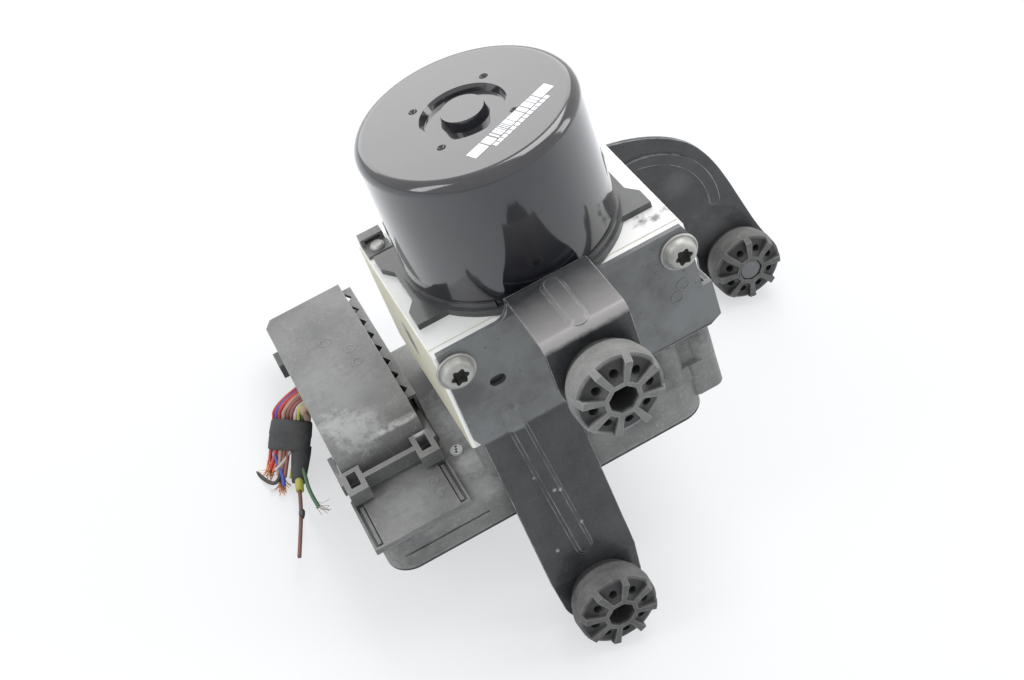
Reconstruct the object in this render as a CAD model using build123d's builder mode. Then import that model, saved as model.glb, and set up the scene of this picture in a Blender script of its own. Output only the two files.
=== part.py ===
from build123d import *
import os
from math import cos, pi, radians, sin, tan

# ABS brake module: pump motor on a valve block, control unit below, connector at the side,
# and a one-piece sheet bracket with three rubber isolators.
# Millimetres. +Z runs up the motor axis, +X to the right along the front face, +Y to the back.
# The origin is the motor axis where it crosses the top face of the valve block.

os.makedirs("parts", exist_ok=True)

# ---------------------------------------------------------------- driving dimensions
# motor
can_r = 39.9              # outer radius of the drawn steel can
can_wall = 2.0
can_top = 55.5
can_corner_r = 4.0
flange_t = 2.5            # grey flange between can and block
collar_r = 40.8           # low collar of the flange round the can's foot
collar_h = 2.5
recess_r = 15.6           # ring-shaped recess in the can's top
recess_depth = 2.5
boss_r = 7.7              # raised bearing cup in the middle of the recess
boss_top = 56.7
stake_ring_r = 19.3       # punched stakes that hold the rear bearing plate
stake_r = 1.6
ear_half_x = 46.0
ear_half_y = 23.4
magnet_t = 6.0
magnet_arc = 70.0
core_r = 28.5
shaft_r = 4.0
shaft_tip_r = 3.0
running_gap = 0.05
eccentric_r = 6.0
eccentric_offset = 1.5
eccentric_low, eccentric_high = -26.0, -14.0
ring_r = 9.0              # needle ring that runs on the eccentric
spigot_r = 15.0           # register of the motor flange in the block
spigot_depth = 4.0
cam_bore_r = 12.5
cam_bore_depth = 34.0

# valve block
block_left, block_right = -48.0, 50.0
block_front, block_back = -40.0, 38.0
block_h = 45.5
pump_z = -20.0
piston_r = 4.0
plug_bore_r = 7.0
plug_t = 7.0
valve_xs = (-30.0, -10.0, 10.0, 30.0)
valve_ys = (-20.0, 20.0)
valve_r = 5.0
dome_r = 3.0
coil_r = 7.0
accumulator_x = 24.0
accumulator_r = 9.0
port_xs = (-36.0, -12.0, 12.0, 36.0)
wheel_port_r = 4.25
master_port_r = 5.25
wheel_port_depth = 11.0
master_port_depth = 14.0
ledge_w = 4.8             # shallow step along the front edge of the block's top
ledge_drop = 0.5

# control unit
base_top, base_bottom = -65.0, -82.5
base_left, base_right = -93.0, 38.5
base_front, base_back = -43.0, 55.0
base_corner_r = 10.0
cover_t = 2.3
wall = 2.5
tower_left, tower_right = -46.0, 46.0
tower_front, tower_back = -38.5, 37.0

# connector
shell_left, shell_right = -93.0, -58.3
shell_back, shell_top, shell_bottom = 92.0, -48.0, -62.5
nose_y, nose_z, nose_r = 5.0, -60.0, 12.0
shell_wall = 2.0
gusset_count = 8
gusset_pitch = 9.6
gusset_size = 6.6
panel_left, panel_right, panel_front = -95.0, -56.6, -44.0
header_centre = (-75.65, 24.9)
header_x, header_y = 26.7, 48.6
pivot_pin_r = 1.2
pivot_eye_r = 2.4

# bracket and isolators
sheet = 2.0
plate_front = -42.0
plate_left, plate_right = -46.5, 49.5
plate_top, plate_bottom = 1.7, -45.5
neck_left, neck_right = -18.0, 13.1
shelf_top = 10.5
shelf_reach = -74.0
leg_left, leg_right = -44.0, -9.0
pad_front = -57.0
pad_start = -112.0
strap_outer = 53.3
arm_front = 74.3
bead_w = 7.0              # pressed stiffening beads
bead_h = 1.3
bead_slope = 45
arm_bead_w = 5.0
arm_bead_h = 0.8
isolator_r = 16.0
isolator_front = 17.3     # front of an isolator ahead of the sheet that carries it
isolator_bore_r = 5.0
isolator_hole_r = 8.0
middle_mount = (-2.5, -9.2)
lower_mount = (-26.6, -123.3)
right_mount = (106.3, -123.0)
right_phase = 14.4
bolt_xs = (-42.3, 44.5)
bolt_z = -7.5
bolt_r = 3.0
bolt_head_r = 7.2

# harness
wire_d = 1.6
hood_left = -90.7          # outer left face of the terminal hood, where the wires start
tape_start = (-100.9, 45.6, -66.0)
tape_end = (-108.5, 37.9, -74.0)


# ================================================================ motor
with BuildPart() as motor_can:
    with BuildSketch(Plane.XZ) as can_profile:
        with BuildLine():
            Polyline(
                (can_r - can_wall, flange_t), (can_r, flange_t), (can_r, can_top),
                (recess_r, can_top), (recess_r - 1.2, can_top - recess_depth),
                (boss_r + 1.0, can_top - recess_depth), (boss_r, boss_top), (0, boss_top),
                (0, boss_top - can_wall), (boss_r - can_wall, boss_top - can_wall),
                (boss_r - can_wall, can_top - recess_depth - can_wall),
                (recess_r + 1.5, can_top - recess_depth - can_wall), (recess_r + 3.0, can_top - can_wall),
                (can_r - can_wall, can_top - can_wall), close=True)
        make_face()
    revolve(axis=Axis.Z)
    rim = motor_can.edges().filter_by(GeomType.CIRCLE).filter_by(
        lambda e: abs(e.radius - can_r) < 0.01 and e.center().Z > can_top - 0.5)
    fillet(rim, can_corner_r)
    with BuildSketch(Plane.XY.offset(can_top)) as stakes:
        with PolarLocations(stake_ring_r, 4, start_angle=45):
            Circle(stake_r)
    extrude(amount=-stake_r, taper=35, mode=Mode.SUBTRACT)
motor_can.part.label = "motor_can"
export_step(motor_can.part, "parts/motor_can.step")

with BuildPart() as motor_flange:
    with BuildSketch(Plane.XY) as flange_plan:
        Circle(collar_r + 0.9)
        Rectangle(2 * ear_half_x, 2 * ear_half_y)
        with BuildLine():
            Polyline((-ear_half_x, 15), (-42.5, 9.5), (-42.5, -9.5), (-ear_half_x, -15), close=True)
        make_face(mode=Mode.SUBTRACT)
        with BuildLine():
            Polyline((ear_half_x, 15), (42.5, 9.5), (42.5, -9.5), (ear_half_x, -15), close=True)
        make_face(mode=Mode.SUBTRACT)
        # flat where the bracket's neck passes
        with Locations(((neck_left + neck_right) / 2, block_front - 5)):
            Rectangle(neck_right - neck_left + 2, 10, mode=Mode.SUBTRACT)
    extrude(amount=flange_t)
    with BuildSketch(Plane.XY.offset(flange_t)):
        Circle(collar_r)
        Circle(can_r, mode=Mode.SUBTRACT)
        with Locations(((neck_left + neck_right) / 2, block_front)):
            Rectangle(neck_right - neck_left + 4, 12, mode=Mode.SUBTRACT)
    extrude(amount=collar_h)
    with BuildSketch(Plane.XY):
        Circle(spigot_r)
    extrude(amount=-spigot_depth)
    with BuildSketch(Plane.XY.offset(-spigot_depth)):
        Circle(11.0)
    extrude(amount=4.5, mode=Mode.SUBTRACT)
    with BuildSketch(Plane.XY.offset(-spigot_depth)):
        Circle(8.0)
    extrude(amount=10, mode=Mode.SUBTRACT)
    with BuildSketch(Plane.XY):
        with GridLocations(83, 38, 2, 2):
            Circle(2.4)
    extrude(amount=2.0, mode=Mode.SUBTRACT)
motor_flange.part.label = "motor_flange"
export_step(motor_flange.part, "parts/motor_flange.step")

# four long screws come up through the block into the flange's ears
with BuildPart() as motor_screws:
    with BuildSketch(Plane.XY.offset(-block_h)):
        with GridLocations(83, 38, 2, 2):
            Circle(4.4)
    extrude(amount=4.0)
    with BuildSketch(Plane.XY.offset(-block_h + 4.0)):
        with GridLocations(83, 38, 2, 2):
            Circle(2.4)
    extrude(amount=block_h - 4.0 + 2.0)
    with BuildSketch(Plane.XY.offset(-block_h)):
        with GridLocations(83, 38, 2, 2):
            RegularPolygon(2.2, 6)
    extrude(amount=2.2, mode=Mode.SUBTRACT)
motor_screws.part.label = "motor_screws"
export_step(motor_screws.part, "parts/motor_screws.step")

for number in range(4):
    with BuildPart() as magnet:
        with BuildSketch(Plane.XY.offset(14)):
            Circle(can_r - can_wall)
            Circle(can_r - can_wall - magnet_t, mode=Mode.SUBTRACT)
            with BuildLine():
                half = radians(magnet_arc / 2)
                middle = radians(90 * number)
                Polyline(
                    (0, 0), (60 * cos(middle - half), 60 * sin(middle - half)),
                    (80 * cos(middle), 80 * sin(middle)),
                    (60 * cos(middle + half), 60 * sin(middle + half)), close=True)
            make_face(mode=Mode.INTERSECT)
        extrude(amount=32)
    magnet.part.label = f"magnet_{number + 1}"
    export_step(magnet.part, f"parts/magnet_{number + 1}.step")

with BuildPart() as armature_shaft:
    with BuildSketch(Plane.XY.offset(-30)):
        Circle(shaft_r)
    extrude(amount=78)
    with BuildSketch(Plane.XY.offset(48)):
        Circle(shaft_tip_r)
    extrude(amount=6.2)
    with BuildSketch(Plane.XY.offset(eccentric_low)):
        with Locations((0, eccentric_offset)):
            Circle(eccentric_r)
    extrude(amount=eccentric_high - eccentric_low)
armature_shaft.part.label = "armature_shaft"
export_step(armature_shaft.part, "parts/armature_shaft.step")

with BuildPart() as eccentric_bearing:
    with BuildSketch(Plane.XY.offset(eccentric_low + 1)):
        with Locations((0, eccentric_offset)):
            Circle(ring_r)
            Circle(eccentric_r, mode=Mode.SUBTRACT)
    extrude(amount=eccentric_high - eccentric_low - 2)
eccentric_bearing.part.label = "eccentric_bearing"
export_step(eccentric_bearing.part, "parts/eccentric_bearing.step")

# slotted lamination stack with closed slot feet and T-shaped teeth
with BuildPart() as armature_core:
    with BuildSketch(Plane.XY.offset(21)):
        Circle(core_r)
        Circle(shaft_r, mode=Mode.SUBTRACT)
        with PolarLocations(core_r - 5.5, 12):
            Rectangle(14, 2.2, mode=Mode.SUBTRACT)
        with PolarLocations(core_r - 7.0, 12):
            Rectangle(8, 5.0, mode=Mode.SUBTRACT)
    extrude(amount=22)
armature_core.part.label = "armature_core"
export_step(armature_core.part, "parts/armature_core.step")

# the end turns above and below the core, joined through its slots
with BuildPart() as armature_windings:
    for low in (16.5, 43.0):
        with BuildSketch(Plane.XY.offset(low)):
            Circle(25.0)
            Circle(12.0, mode=Mode.SUBTRACT)
        extrude(amount=4.5)
    with BuildSketch(Plane.XY.offset(21)):
        with PolarLocations(core_r - 7.2, 12):
            Rectangle(7.4, 4.4)
    extrude(amount=22)
    bottom_rim = armature_windings.edges().filter_by(GeomType.CIRCLE).group_by(Axis.Z)[0]
    top_rim = armature_windings.edges().filter_by(GeomType.CIRCLE).group_by(Axis.Z)[-1]
    fillet(bottom_rim + top_rim, 1.8)
armature_windings.part.label = "armature_windings"
export_step(armature_windings.part, "parts/armature_windings.step")

with BuildPart() as commutator:
    with BuildSketch(Plane.XY.offset(5.0)):
        Circle(9.0)
        Circle(shaft_r, mode=Mode.SUBTRACT)
    extrude(amount=11.5)
    with BuildSketch(Plane.XY.offset(5.0)):
        with PolarLocations(9.0, 12):
            Rectangle(1.6, 0.6)
    extrude(amount=9.5, mode=Mode.SUBTRACT)
commutator.part.label = "commutator"
export_step(commutator.part, "parts/commutator.step")

with BuildPart() as front_bearing:
    with BuildSketch(Plane.XY.offset(-spigot_depth)):
        Circle(11.0)
        Circle(shaft_r + running_gap, mode=Mode.SUBTRACT)
    extrude(amount=4.5)
front_bearing.part.label = "front_bearing"
export_step(front_bearing.part, "parts/front_bearing.step")

with BuildPart() as rear_bearing:
    with BuildSketch(Plane.XY.offset(49.7)):
        Circle(boss_r - can_wall)
        Circle(shaft_tip_r + running_gap, mode=Mode.SUBTRACT)
    extrude(amount=boss_top - can_wall - 49.7)
rear_bearing.part.label = "rear_bearing"
export_step(rear_bearing.part, "parts/rear_bearing.step")

with BuildPart() as brush_plate:
    with BuildSketch(Plane.XY.offset(flange_t)):
        Circle(36.0)
        Circle(11.5, mode=Mode.SUBTRACT)
    extrude(amount=2.0)
    with BuildSketch(Plane.XY.offset(flange_t + 2.0)):
        with PolarLocations(19.0, 2):
            Rectangle(14, 9.0)
            Rectangle(14.2, 6.0, mode=Mode.SUBTRACT)
    extrude(amount=8.0)
brush_plate.part.label = "brush_plate"
export_step(brush_plate.part, "parts/brush_plate.step")

with BuildPart() as brushes:
    with BuildSketch(Plane.XY.offset(flange_t + 2.0)):
        with PolarLocations(17.0, 2):
            Rectangle(15.4, 6.0)
    extrude(amount=6.0)
brushes.part.label = "brushes"
export_step(brushes.part, "parts/brushes.step")

# ================================================================ valve block
with BuildPart() as valve_block:
    with BuildSketch(Plane.XY.offset(-block_h)):
        with Locations(((block_left + block_right) / 2, (block_front + block_back) / 2)):
            Rectangle(block_right - block_left, block_back - block_front)
    extrude(amount=block_h)
    fillet(valve_block.edges().filter_by(Axis.Z), 1.5)
    chamfer(valve_block.faces().sort_by(Axis.Z)[-1].edges(), 0.6)
    # step along the front edge of the top
    with BuildSketch(Plane.XY):
        with Locations(((block_left + block_right) / 2, block_front + ledge_w / 2)):
            Rectangle(block_right - block_left, ledge_w)
    extrude(amount=-ledge_drop, mode=Mode.SUBTRACT)
    # register and cam bore of the motor
    with BuildSketch(Plane.XY):
        Circle(spigot_r)
    extrude(amount=-spigot_depth, mode=Mode.SUBTRACT)
    with BuildSketch(Plane.XY):
        Circle(cam_bore_r)
    extrude(amount=-cam_bore_depth, mode=Mode.SUBTRACT)
    # pump bores from both ends
    with BuildSketch(Plane.YZ.offset(block_left)):
        with Locations((0, pump_z)):
            Circle(piston_r + running_gap)
    extrude(amount=block_right - block_left, mode=Mode.SUBTRACT)
    with BuildSketch(Plane.YZ.offset(block_left)):
        with Locations((0, pump_z)):
            Circle(plug_bore_r)
    extrude(amount=22, mode=Mode.SUBTRACT)
    with BuildSketch(Plane.YZ.offset(block_right)):
        with Locations((0, pump_z)):
            Circle(plug_bore_r)
    extrude(amount=-22, mode=Mode.SUBTRACT)
    # valve seats and accumulators from below
    with BuildSketch(Plane.XY.offset(-block_h)):
        with GridLocations(20, valve_ys[1] - valve_ys[0], 4, 2):
            Circle(valve_r)
    extrude(amount=26, mode=Mode.SUBTRACT)
    with BuildSketch(Plane.XY.offset(-block_h)):
        with GridLocations(2 * accumulator_x, 1, 2, 1):
            Circle(accumulator_r)
    extrude(amount=16, mode=Mode.SUBTRACT)
    # motor screws
    with BuildSketch(Plane.XY.offset(-block_h)):
        with GridLocations(83, 38, 2, 2):
            Circle(4.4)
    extrude(amount=4.0, mode=Mode.SUBTRACT)
    with BuildSketch(Plane.XY.offset(-block_h)):
        with GridLocations(83, 38, 2, 2):
            Circle(2.4)
    extrude(amount=block_h, mode=Mode.SUBTRACT)
    # control unit screws
    with BuildSketch(Plane.XY.offset(-block_h)):
        with GridLocations(82, 64, 2, 2):
            Circle(2.0)
    extrude(amount=8.5, mode=Mode.SUBTRACT)
    # tapped holes for the bracket, front face
    with BuildSketch(Plane.XZ.offset(-block_front)):
        with Locations(*[(x, bolt_z) for x in bolt_xs]):
            Circle(bolt_r)
    extrude(amount=-16, mode=Mode.SUBTRACT)
    # pipe ports, back face: four wheels in a row, two master-cylinder lines above
    with BuildSketch(Plane.XZ.offset(-block_back)):
        with Locations(*[(x, -33.0) for x in port_xs]):
            Circle(wheel_port_r)
    extrude(amount=wheel_port_depth, mode=Mode.SUBTRACT)
    with BuildSketch(Plane.XZ.offset(-block_back)):
        with Locations((-20.0, -11.0), (20.0, -11.0)):
            Circle(master_port_r)
    extrude(amount=master_port_depth, mode=Mode.SUBTRACT)
valve_block.part.label = "valve_block"
export_step(valve_block.part, "parts/valve_block.step")

# pistons, springs and plugs of the two pump elements
for side, name in ((-1, "left"), (1, "right")):
    face = block_left if side < 0 else block_right
    with BuildPart() as pump_piston:
        with BuildSketch(Plane.YZ.offset(side * 10.8)):
            with Locations((0, pump_z)):
                Circle(piston_r)
        extrude(amount=side * 15.4)
    pump_piston.part.label = f"pump_piston_{name}"
    export_step(pump_piston.part, f"parts/pump_piston_{name}.step")

    with BuildPart() as pump_plug:
        with BuildSketch(Plane.YZ.offset(face)):
            with Locations((0, pump_z)):
                Circle(plug_bore_r)
        extrude(amount=-side * plug_t)
        with BuildSketch(Plane.YZ.offset(face)):
            with Locations((0, pump_z)):
                RegularPolygon(3.4, 6)
        extrude(amount=-side * 3.5, mode=Mode.SUBTRACT)
    pump_plug.part.label = f"pump_plug_{name}"
    export_step(pump_plug.part, f"parts/pump_plug_{name}.step")

# solenoid valves: a staked body in the block and a dome that stands down into its coil
valve_places = [(x, y) for y in valve_ys for x in valve_xs]
for number, (x, y) in enumerate(valve_places, start=1):
    with BuildPart() as valve:
        with BuildSketch(Plane.XY.offset(-block_h)):
            with Locations((x, y)):
                Circle(valve_r)
        extrude(amount=22)
        with BuildSketch(Plane.XY.offset(-block_h)):
            with Locations((x, y)):
                Circle(dome_r)
        extrude(amount=-17)
        fillet(valve.edges().filter_by(GeomType.CIRCLE).group_by(Axis.Z)[0], 1.5)
    valve.part.label = f"valve_{number}"
    export_step(valve.part, f"parts/valve_{number}.step")

with BuildPart() as valve_coils:
    with BuildSketch(Plane.XY.offset(-48.6)):
        with GridLocations(20, valve_ys[1] - valve_ys[0], 4, 2):
            Circle(coil_r)
            Circle(dome_r, mode=Mode.SUBTRACT)
    extrude(amount=-13)
valve_coils.part.label = "valve_coils"
export_step(valve_coils.part, "parts/valve_coils.step")

for number, x in ((1, -accumulator_x), (2, accumulator_x)):
    with BuildPart() as accumulator_piston:
        with BuildSketch(Plane.XY.offset(-29.8)):
            with Locations((x, 0)):
                Circle(accumulator_r - running_gap)
        extrude(amount=-6)
    accumulator_piston.part.label = f"accumulator_piston_{number}"
    export_step(accumulator_piston.part, f"parts/accumulator_piston_{number}.step")
    with BuildPart() as accumulator_cap:
        with BuildSketch(Plane.XY.offset(-block_h)):
            with Locations((x, 0)):
                Circle(accumulator_r)
        extrude(amount=3.0)
    accumulator_cap.part.label = f"accumulator_cap_{number}"
    export_step(accumulator_cap.part, f"parts/accumulator_cap_{number}.step")

# ================================================================ earth tab at the back left corner
with BuildPart() as earth_tab:
    with BuildSketch(Plane.XY) as tab_plan:
        with BuildLine():
            Polyline((-47.2, 26.0), (-37.5, 26.0), (-37.5, 31.0), (-39.5, 37.0), (-47.2, 37.0), close=True)
        make_face()
    extrude(amount=1.5)
    with BuildSketch(Plane.XY.offset(1.5)):
        with Locations((-42.6, 34.6)):
            Rectangle(9.0, 4.4)
    extrude(amount=3.6)
    with BuildSketch(Plane.XZ.offset(-32.4)):
        with Locations((-42.6, 3.2)):
            Rectangle(6.4, 2.0)
    extrude(amount=-3.2, mode=Mode.SUBTRACT)
    with BuildSketch(Plane.XY):
        with Locations((-42.2, 29.2)):
            Circle(1.5)
    extrude(amount=3, mode=Mode.SUBTRACT)
earth_tab.part.label = "earth_tab"
export_step(earth_tab.part, "parts/earth_tab.step")

with BuildPart() as earth_screw:
    with BuildSketch(Plane.XY):
        with Locations((-42.2, 29.2)):
            Circle(1.5)
    extrude(amount=1.5)
    with BuildSketch(Plane.XY.offset(1.5)):
        with Locations((-42.2, 29.2)):
            Circle(2.8)
    extrude(amount=1.8)
    chamfer(earth_screw.edges().group_by(Axis.Z)[-1], 0.6)
earth_screw.part.label = "earth_screw"
export_step(earth_screw.part, "parts/earth_screw.step")

# ================================================================ control unit
tower_centre = ((tower_left + tower_right) / 2, (tower_front + tower_back) / 2)
tower_size = (tower_right - tower_left, tower_back - tower_front)
base_centre = ((base_left + base_right) / 2, (base_front + base_back) / 2)
base_size = (base_right - base_left, base_back - base_front)
lid_top = base_bottom + cover_t

with BuildPart() as ecu_housing:
    # broad tray
    with BuildSketch(Plane.XY.offset(lid_top)):
        with Locations(base_centre):
            RectangleRounded(base_size[0], base_size[1], base_corner_r)
    extrude(amount=base_top - lid_top)
    fillet(ecu_housing.faces().sort_by(Axis.Z)[-1].edges(), 2.4)
    # tower round the coils, under the block
    with BuildSketch(Plane.XY.offset(base_top - 2)):
        with Locations(tower_centre):
            RectangleRounded(tower_size[0], tower_size[1], 4.0)
    extrude(amount=-block_h - base_top + 2)
    # rounded shoulder along the front, below the undercut
    with BuildSketch(Plane.YZ.offset(-8.0)) as shoulder:
        with BuildLine():
            Polyline((-41.5, -66), (-41.5, -61.5), (-40.5, -60.0), (-38.0, -60.0), (-38.0, -66), close=True)
        make_face()
    extrude(amount=44)
    # screw lugs on the right end
    with BuildSketch(Plane.XY.offset(-60.5)):
        with Locations((43.5, -35.0)):
            Circle(5.5)
    extrude(amount=15)
    with BuildSketch(Plane.XY.offset(-76.0)):
        with Locations((41.5, -33.0)):
            RectangleRounded(14, 15, 4)
    extrude(amount=15.5)
    with BuildSketch(Plane.XY.offset(-66.0)):
        with Locations((30.0, -37.4)):
            Circle(4.6)
    extrude(amount=20.0)
    # hollow of the tray and of the tower
    with BuildSketch(Plane.XY.offset(lid_top)):
        with Locations(base_centre):
            RectangleRounded(base_size[0] - 2 * wall, base_size[1] - 2 * wall, base_corner_r - wall)
    extrude(amount=base_top - 2.0 - lid_top, mode=Mode.SUBTRACT)
    with BuildSketch(Plane.XY.offset(base_top - 2.0)):
        with Locations(tower_centre):
            RectangleRounded(tower_size[0] - 2 * wall, tower_size[1] - 2 * wall, 2.0)
    extrude(amount=18.4, mode=Mode.SUBTRACT)
    # domes pass through the tower's roof
    with BuildSketch(Plane.XY.offset(-48.6)):
        with GridLocations(20, valve_ys[1] - valve_ys[0], 4, 2):
            Circle(dome_r + 0.3)
    extrude(amount=4, mode=Mode.SUBTRACT)
    # bosses for the four fixing screws
    with BuildSketch(Plane.XY.offset(-66.0)):
        with GridLocations(82, 64, 2, 2):
            Circle(4.6)
    extrude(amount=-block_h + 66.0)
    with BuildSketch(Plane.XY.offset(-66.0)):
        with GridLocations(82, 64, 2, 2):
            Circle(2.2)
    extrude(amount=21, mode=Mode.SUBTRACT)
    with BuildSketch(Plane.XY.offset(-66.0)):
        with GridLocations(82, 64, 2, 2):
            Circle(3.8)
    extrude(amount=-4, mode=Mode.SUBTRACT)
    # groove round the tray, half way down the left part
    with BuildSketch(Plane.XZ.offset(-base_front)):
        with Locations((-70, -73.5)):
            Rectangle(36, 1.2)
    extrude(amount=-0.8, mode=Mode.SUBTRACT)
    # header shroud and its floor holes
    with BuildSketch(Plane.XY.offset(base_top - 1)):
        with Locations(header_centre):
            RectangleRounded(header_x, header_y, 2)
            RectangleRounded(header_x - 3.2, header_y - 3.2, 1, mode=Mode.SUBTRACT)
    extrude(amount=10)
    with BuildSketch(Plane.XY.offset(base_top)):
        with Locations(header_centre):
            with GridLocations(5, 5, 4, 8):
                Rectangle(1, 1)
    extrude(amount=-3, mode=Mode.SUBTRACT)
    # seat of the vent cap
    with BuildSketch(Plane.XY.offset(base_top)):
        with Locations((-51.5, -16.0)):
            Circle(1.6)
    extrude(amount=-2.0, mode=Mode.SUBTRACT)
ecu_housing.part.label = "ecu_housing"
export_step(ecu_housing.part, "parts/ecu_housing.step")

with BuildPart() as ecu_cover:
    with BuildSketch(Plane.XY.offset(base_bottom)):
        with Locations(base_centre):
            RectangleRounded(base_size[0], base_size[1], base_corner_r)
    extrude(amount=cover_t)
    fillet(ecu_cover.faces().sort_by(Axis.Z)[0].edges(), 1.2)
    with BuildSketch(Plane.XY.offset(lid_top)):
        with Locations(base_centre):
            RectangleRounded(base_size[0] - 2 * wall - 0.4, base_size[1] - 2 * wall - 0.4, base_corner_r - wall)
            RectangleRounded(base_size[0] - 4 * wall, base_size[1] - 4 * wall, base_corner_r - 2 * wall,
                             mode=Mode.SUBTRACT)
    extrude(amount=1.2)
ecu_cover.part.label = "ecu_cover"
export_step(ecu_cover.part, "parts/ecu_cover.step")

with BuildPart() as circuit_board:
    with BuildSketch(Plane.XY.offset(-78.0)):
        with Locations(base_centre):
            RectangleRounded(base_size[0] - 2 * wall, base_size[1] - 2 * wall, base_corner_r - wall)
        with Locations(header_centre):
            with GridLocations(5, 5, 4, 8):
                Rectangle(1, 1, mode=Mode.SUBTRACT)
    extrude(amount=1.6)
circuit_board.part.label = "circuit_board"
export_step(circuit_board.part, "parts/circuit_board.step")

with BuildPart() as header_pins:
    with BuildSketch(Plane.XY.offset(-78.6)):
        with Locations(header_centre):
            with GridLocations(5, 5, 4, 8):
                Rectangle(1, 1)
    extrude(amount=20.4)
header_pins.part.label = "header_pins"
export_step(header_pins.part, "parts/header_pins.step")

with BuildPart() as ecu_screws:
    with BuildSketch(Plane.XY.offset(-66.0)):
        with GridLocations(82, 64, 2, 2):
            Circle(3.6)
    extrude(amount=-3.0)
    with BuildSketch(Plane.XY.offset(-66.0)):
        with GridLocations(82, 64, 2, 2):
            Circle(2.0)
    extrude(amount=28)
ecu_screws.part.label = "ecu_screws"
export_step(ecu_screws.part, "parts/ecu_screws.step")

with BuildPart() as vent_cap:
    with BuildSketch(Plane.XY.offset(base_top)):
        with Locations((-51.5, -16.0)):
            Circle(2.6)
    extrude(amount=0.9)
    fillet(vent_cap.edges().group_by(Axis.Z)[-1], 0.5)
    with BuildSketch(Plane.XY.offset(base_top)):
        with Locations((-51.5, -16.0)):
            Circle(1.6)
    extrude(amount=-2.0)
vent_cap.part.label = "vent_cap"
export_step(vent_cap.part, "parts/vent_cap.step")

# ================================================================ connector
with BuildPart() as plug_housing:
    # base plate with the panel in front of the shell
    with BuildSketch(Plane.XY.offset(base_top)) as plug_plan:
        with BuildLine():
            Polyline(
                (panel_left, panel_front), (panel_right, panel_front), (panel_right, -8), (-54.6, -6), (-54.6, 86),
                (-60, 91),
                (-86, 91), (-92.8, 84), (-92.8, -14), (panel_left, -16), close=True)
        make_face()
        with Locations(header_centre):
            RectangleRounded(header_x + 0.4, header_y + 0.4, 2.2, mode=Mode.SUBTRACT)
    extrude(amount=shell_bottom - base_top)
    # slide slots on both sides of the panel, each with its bar
    with BuildSketch(Plane.XY.offset(shell_bottom)):
        with Locations((-92.6, -31.0), (-58.8, -31.5)):
            Rectangle(3.0, 24.0)
    extrude(amount=-1.8, mode=Mode.SUBTRACT)
    with BuildSketch(Plane.XY.offset(shell_bottom - 1.8)):
        with Locations((-92.3, -31.0), (-59.1, -31.5)):
            Rectangle(1.2, 21.0)
    extrude(amount=1.3)
    # hood over the header shroud and the terminal carrier inside it
    with BuildSketch(Plane.XY.offset(shell_bottom - 1)):
        with Locations(header_centre):
            Rectangle(header_x + 3.4, header_y + 3.4)
            RectangleRounded(header_x + 0.4, header_y + 0.4, 2.2, mode=Mode.SUBTRACT)
    extrude(amount=8.5)
    with BuildSketch(Plane.XY.offset(-55.0)):
        with Locations(header_centre):
            Rectangle(header_x + 3.4, header_y + 3.4)
    extrude(amount=1.6)
    with BuildSketch(Plane.XY.offset(-63.5)):
        with Locations(header_centre):
            Rectangle(header_x - 3.8, header_y - 3.8)
            with GridLocations(5, 5, 4, 8):
                Rectangle(1.2, 1.2, mode=Mode.SUBTRACT)
    extrude(amount=8.6)
plug_housing.part.label = "plug_housing"
export_step(plug_housing.part, "parts/plug_housing.step")

with BuildPart() as plug_cover:
    with BuildSketch(Plane.YZ.offset(shell_left)) as shell_side:
        with BuildLine():
            Polyline((nose_y - nose_r, nose_z), (nose_y - nose_r, shell_bottom), (shell_back, shell_bottom),
                     (shell_back, shell_top - 4), (shell_back - 4, shell_top), (nose_y, shell_top))
            RadiusArc((nose_y, shell_top), (nose_y - nose_r, nose_z), -nose_r)
        make_face()
    extrude(amount=shell_right - shell_left)
    # back left corner is cut off
    with BuildSketch(Plane.XY.offset(shell_bottom)):
        with BuildLine():
            Polyline((-94, 82), (-86, 94), (-94, 94), close=True)
        make_face()
    extrude(amount=20, mode=Mode.SUBTRACT)
    with BuildSketch(Plane.YZ.offset(shell_left + shell_wall)):
        with BuildLine():
            Polyline((nose_y - nose_r + 2, nose_z), (nose_y - nose_r + 2, shell_bottom), (80, shell_bottom),
                     (80, shell_top - 2), (nose_y, shell_top - 2))
            RadiusArc((nose_y, shell_top - 2), (nose_y - nose_r + 2, nose_z), -nose_r + 2)
        make_face()
    extrude(amount=shell_right - shell_left - 2 * shell_wall, mode=Mode.SUBTRACT)
    # wire outlet in the left wall
    with BuildSketch(Plane.YZ.offset(shell_left)):
        with Locations((46.5, -57.25)):
            Rectangle(27, 10.5)
    extrude(amount=shell_wall, mode=Mode.SUBTRACT)
    # side rail with a row of gussets along the right wall
    with BuildSketch(Plane.XY.offset(-52.0)):
        with Locations((-56.4, 46.5)):
            Rectangle(3.8, 79.0)
    extrude(amount=1.6)
    with BuildSketch(Plane.XY.offset(shell_bottom)):
        with Locations((-55.2, 46.5)):
            Rectangle(1.4, 79.0)
    extrude(amount=11)
    with BuildSketch(Plane.XY.offset(-52.5)):
        for step in range(gusset_count):
            y = 10.0 + step * gusset_pitch
            with BuildLine():
                Polyline((shell_right, y), (shell_right, y + gusset_size), (shell_right + 2.4, y + 2.0), close=True)
            make_face()
    extrude(amount=3, mode=Mode.SUBTRACT)
    # latch nub on the left wall, pivot pins of the lever
    with BuildSketch(Plane.YZ.offset(shell_left)):
        with Locations((70.0, -57.5)):
            Rectangle(9, 7)
    extrude(amount=-2.4)
    with BuildSketch(Plane.YZ.offset(shell_left)):
        with Locations((nose_y, nose_z)):
            Circle(pivot_pin_r)
    extrude(amount=-2.4)
    with BuildSketch(Plane.YZ.offset(shell_right)):
        with Locations((nose_y, nose_z)):
            Circle(pivot_pin_r)
    extrude(amount=2.4)
plug_cover.part.label = "plug_cover"
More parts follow.
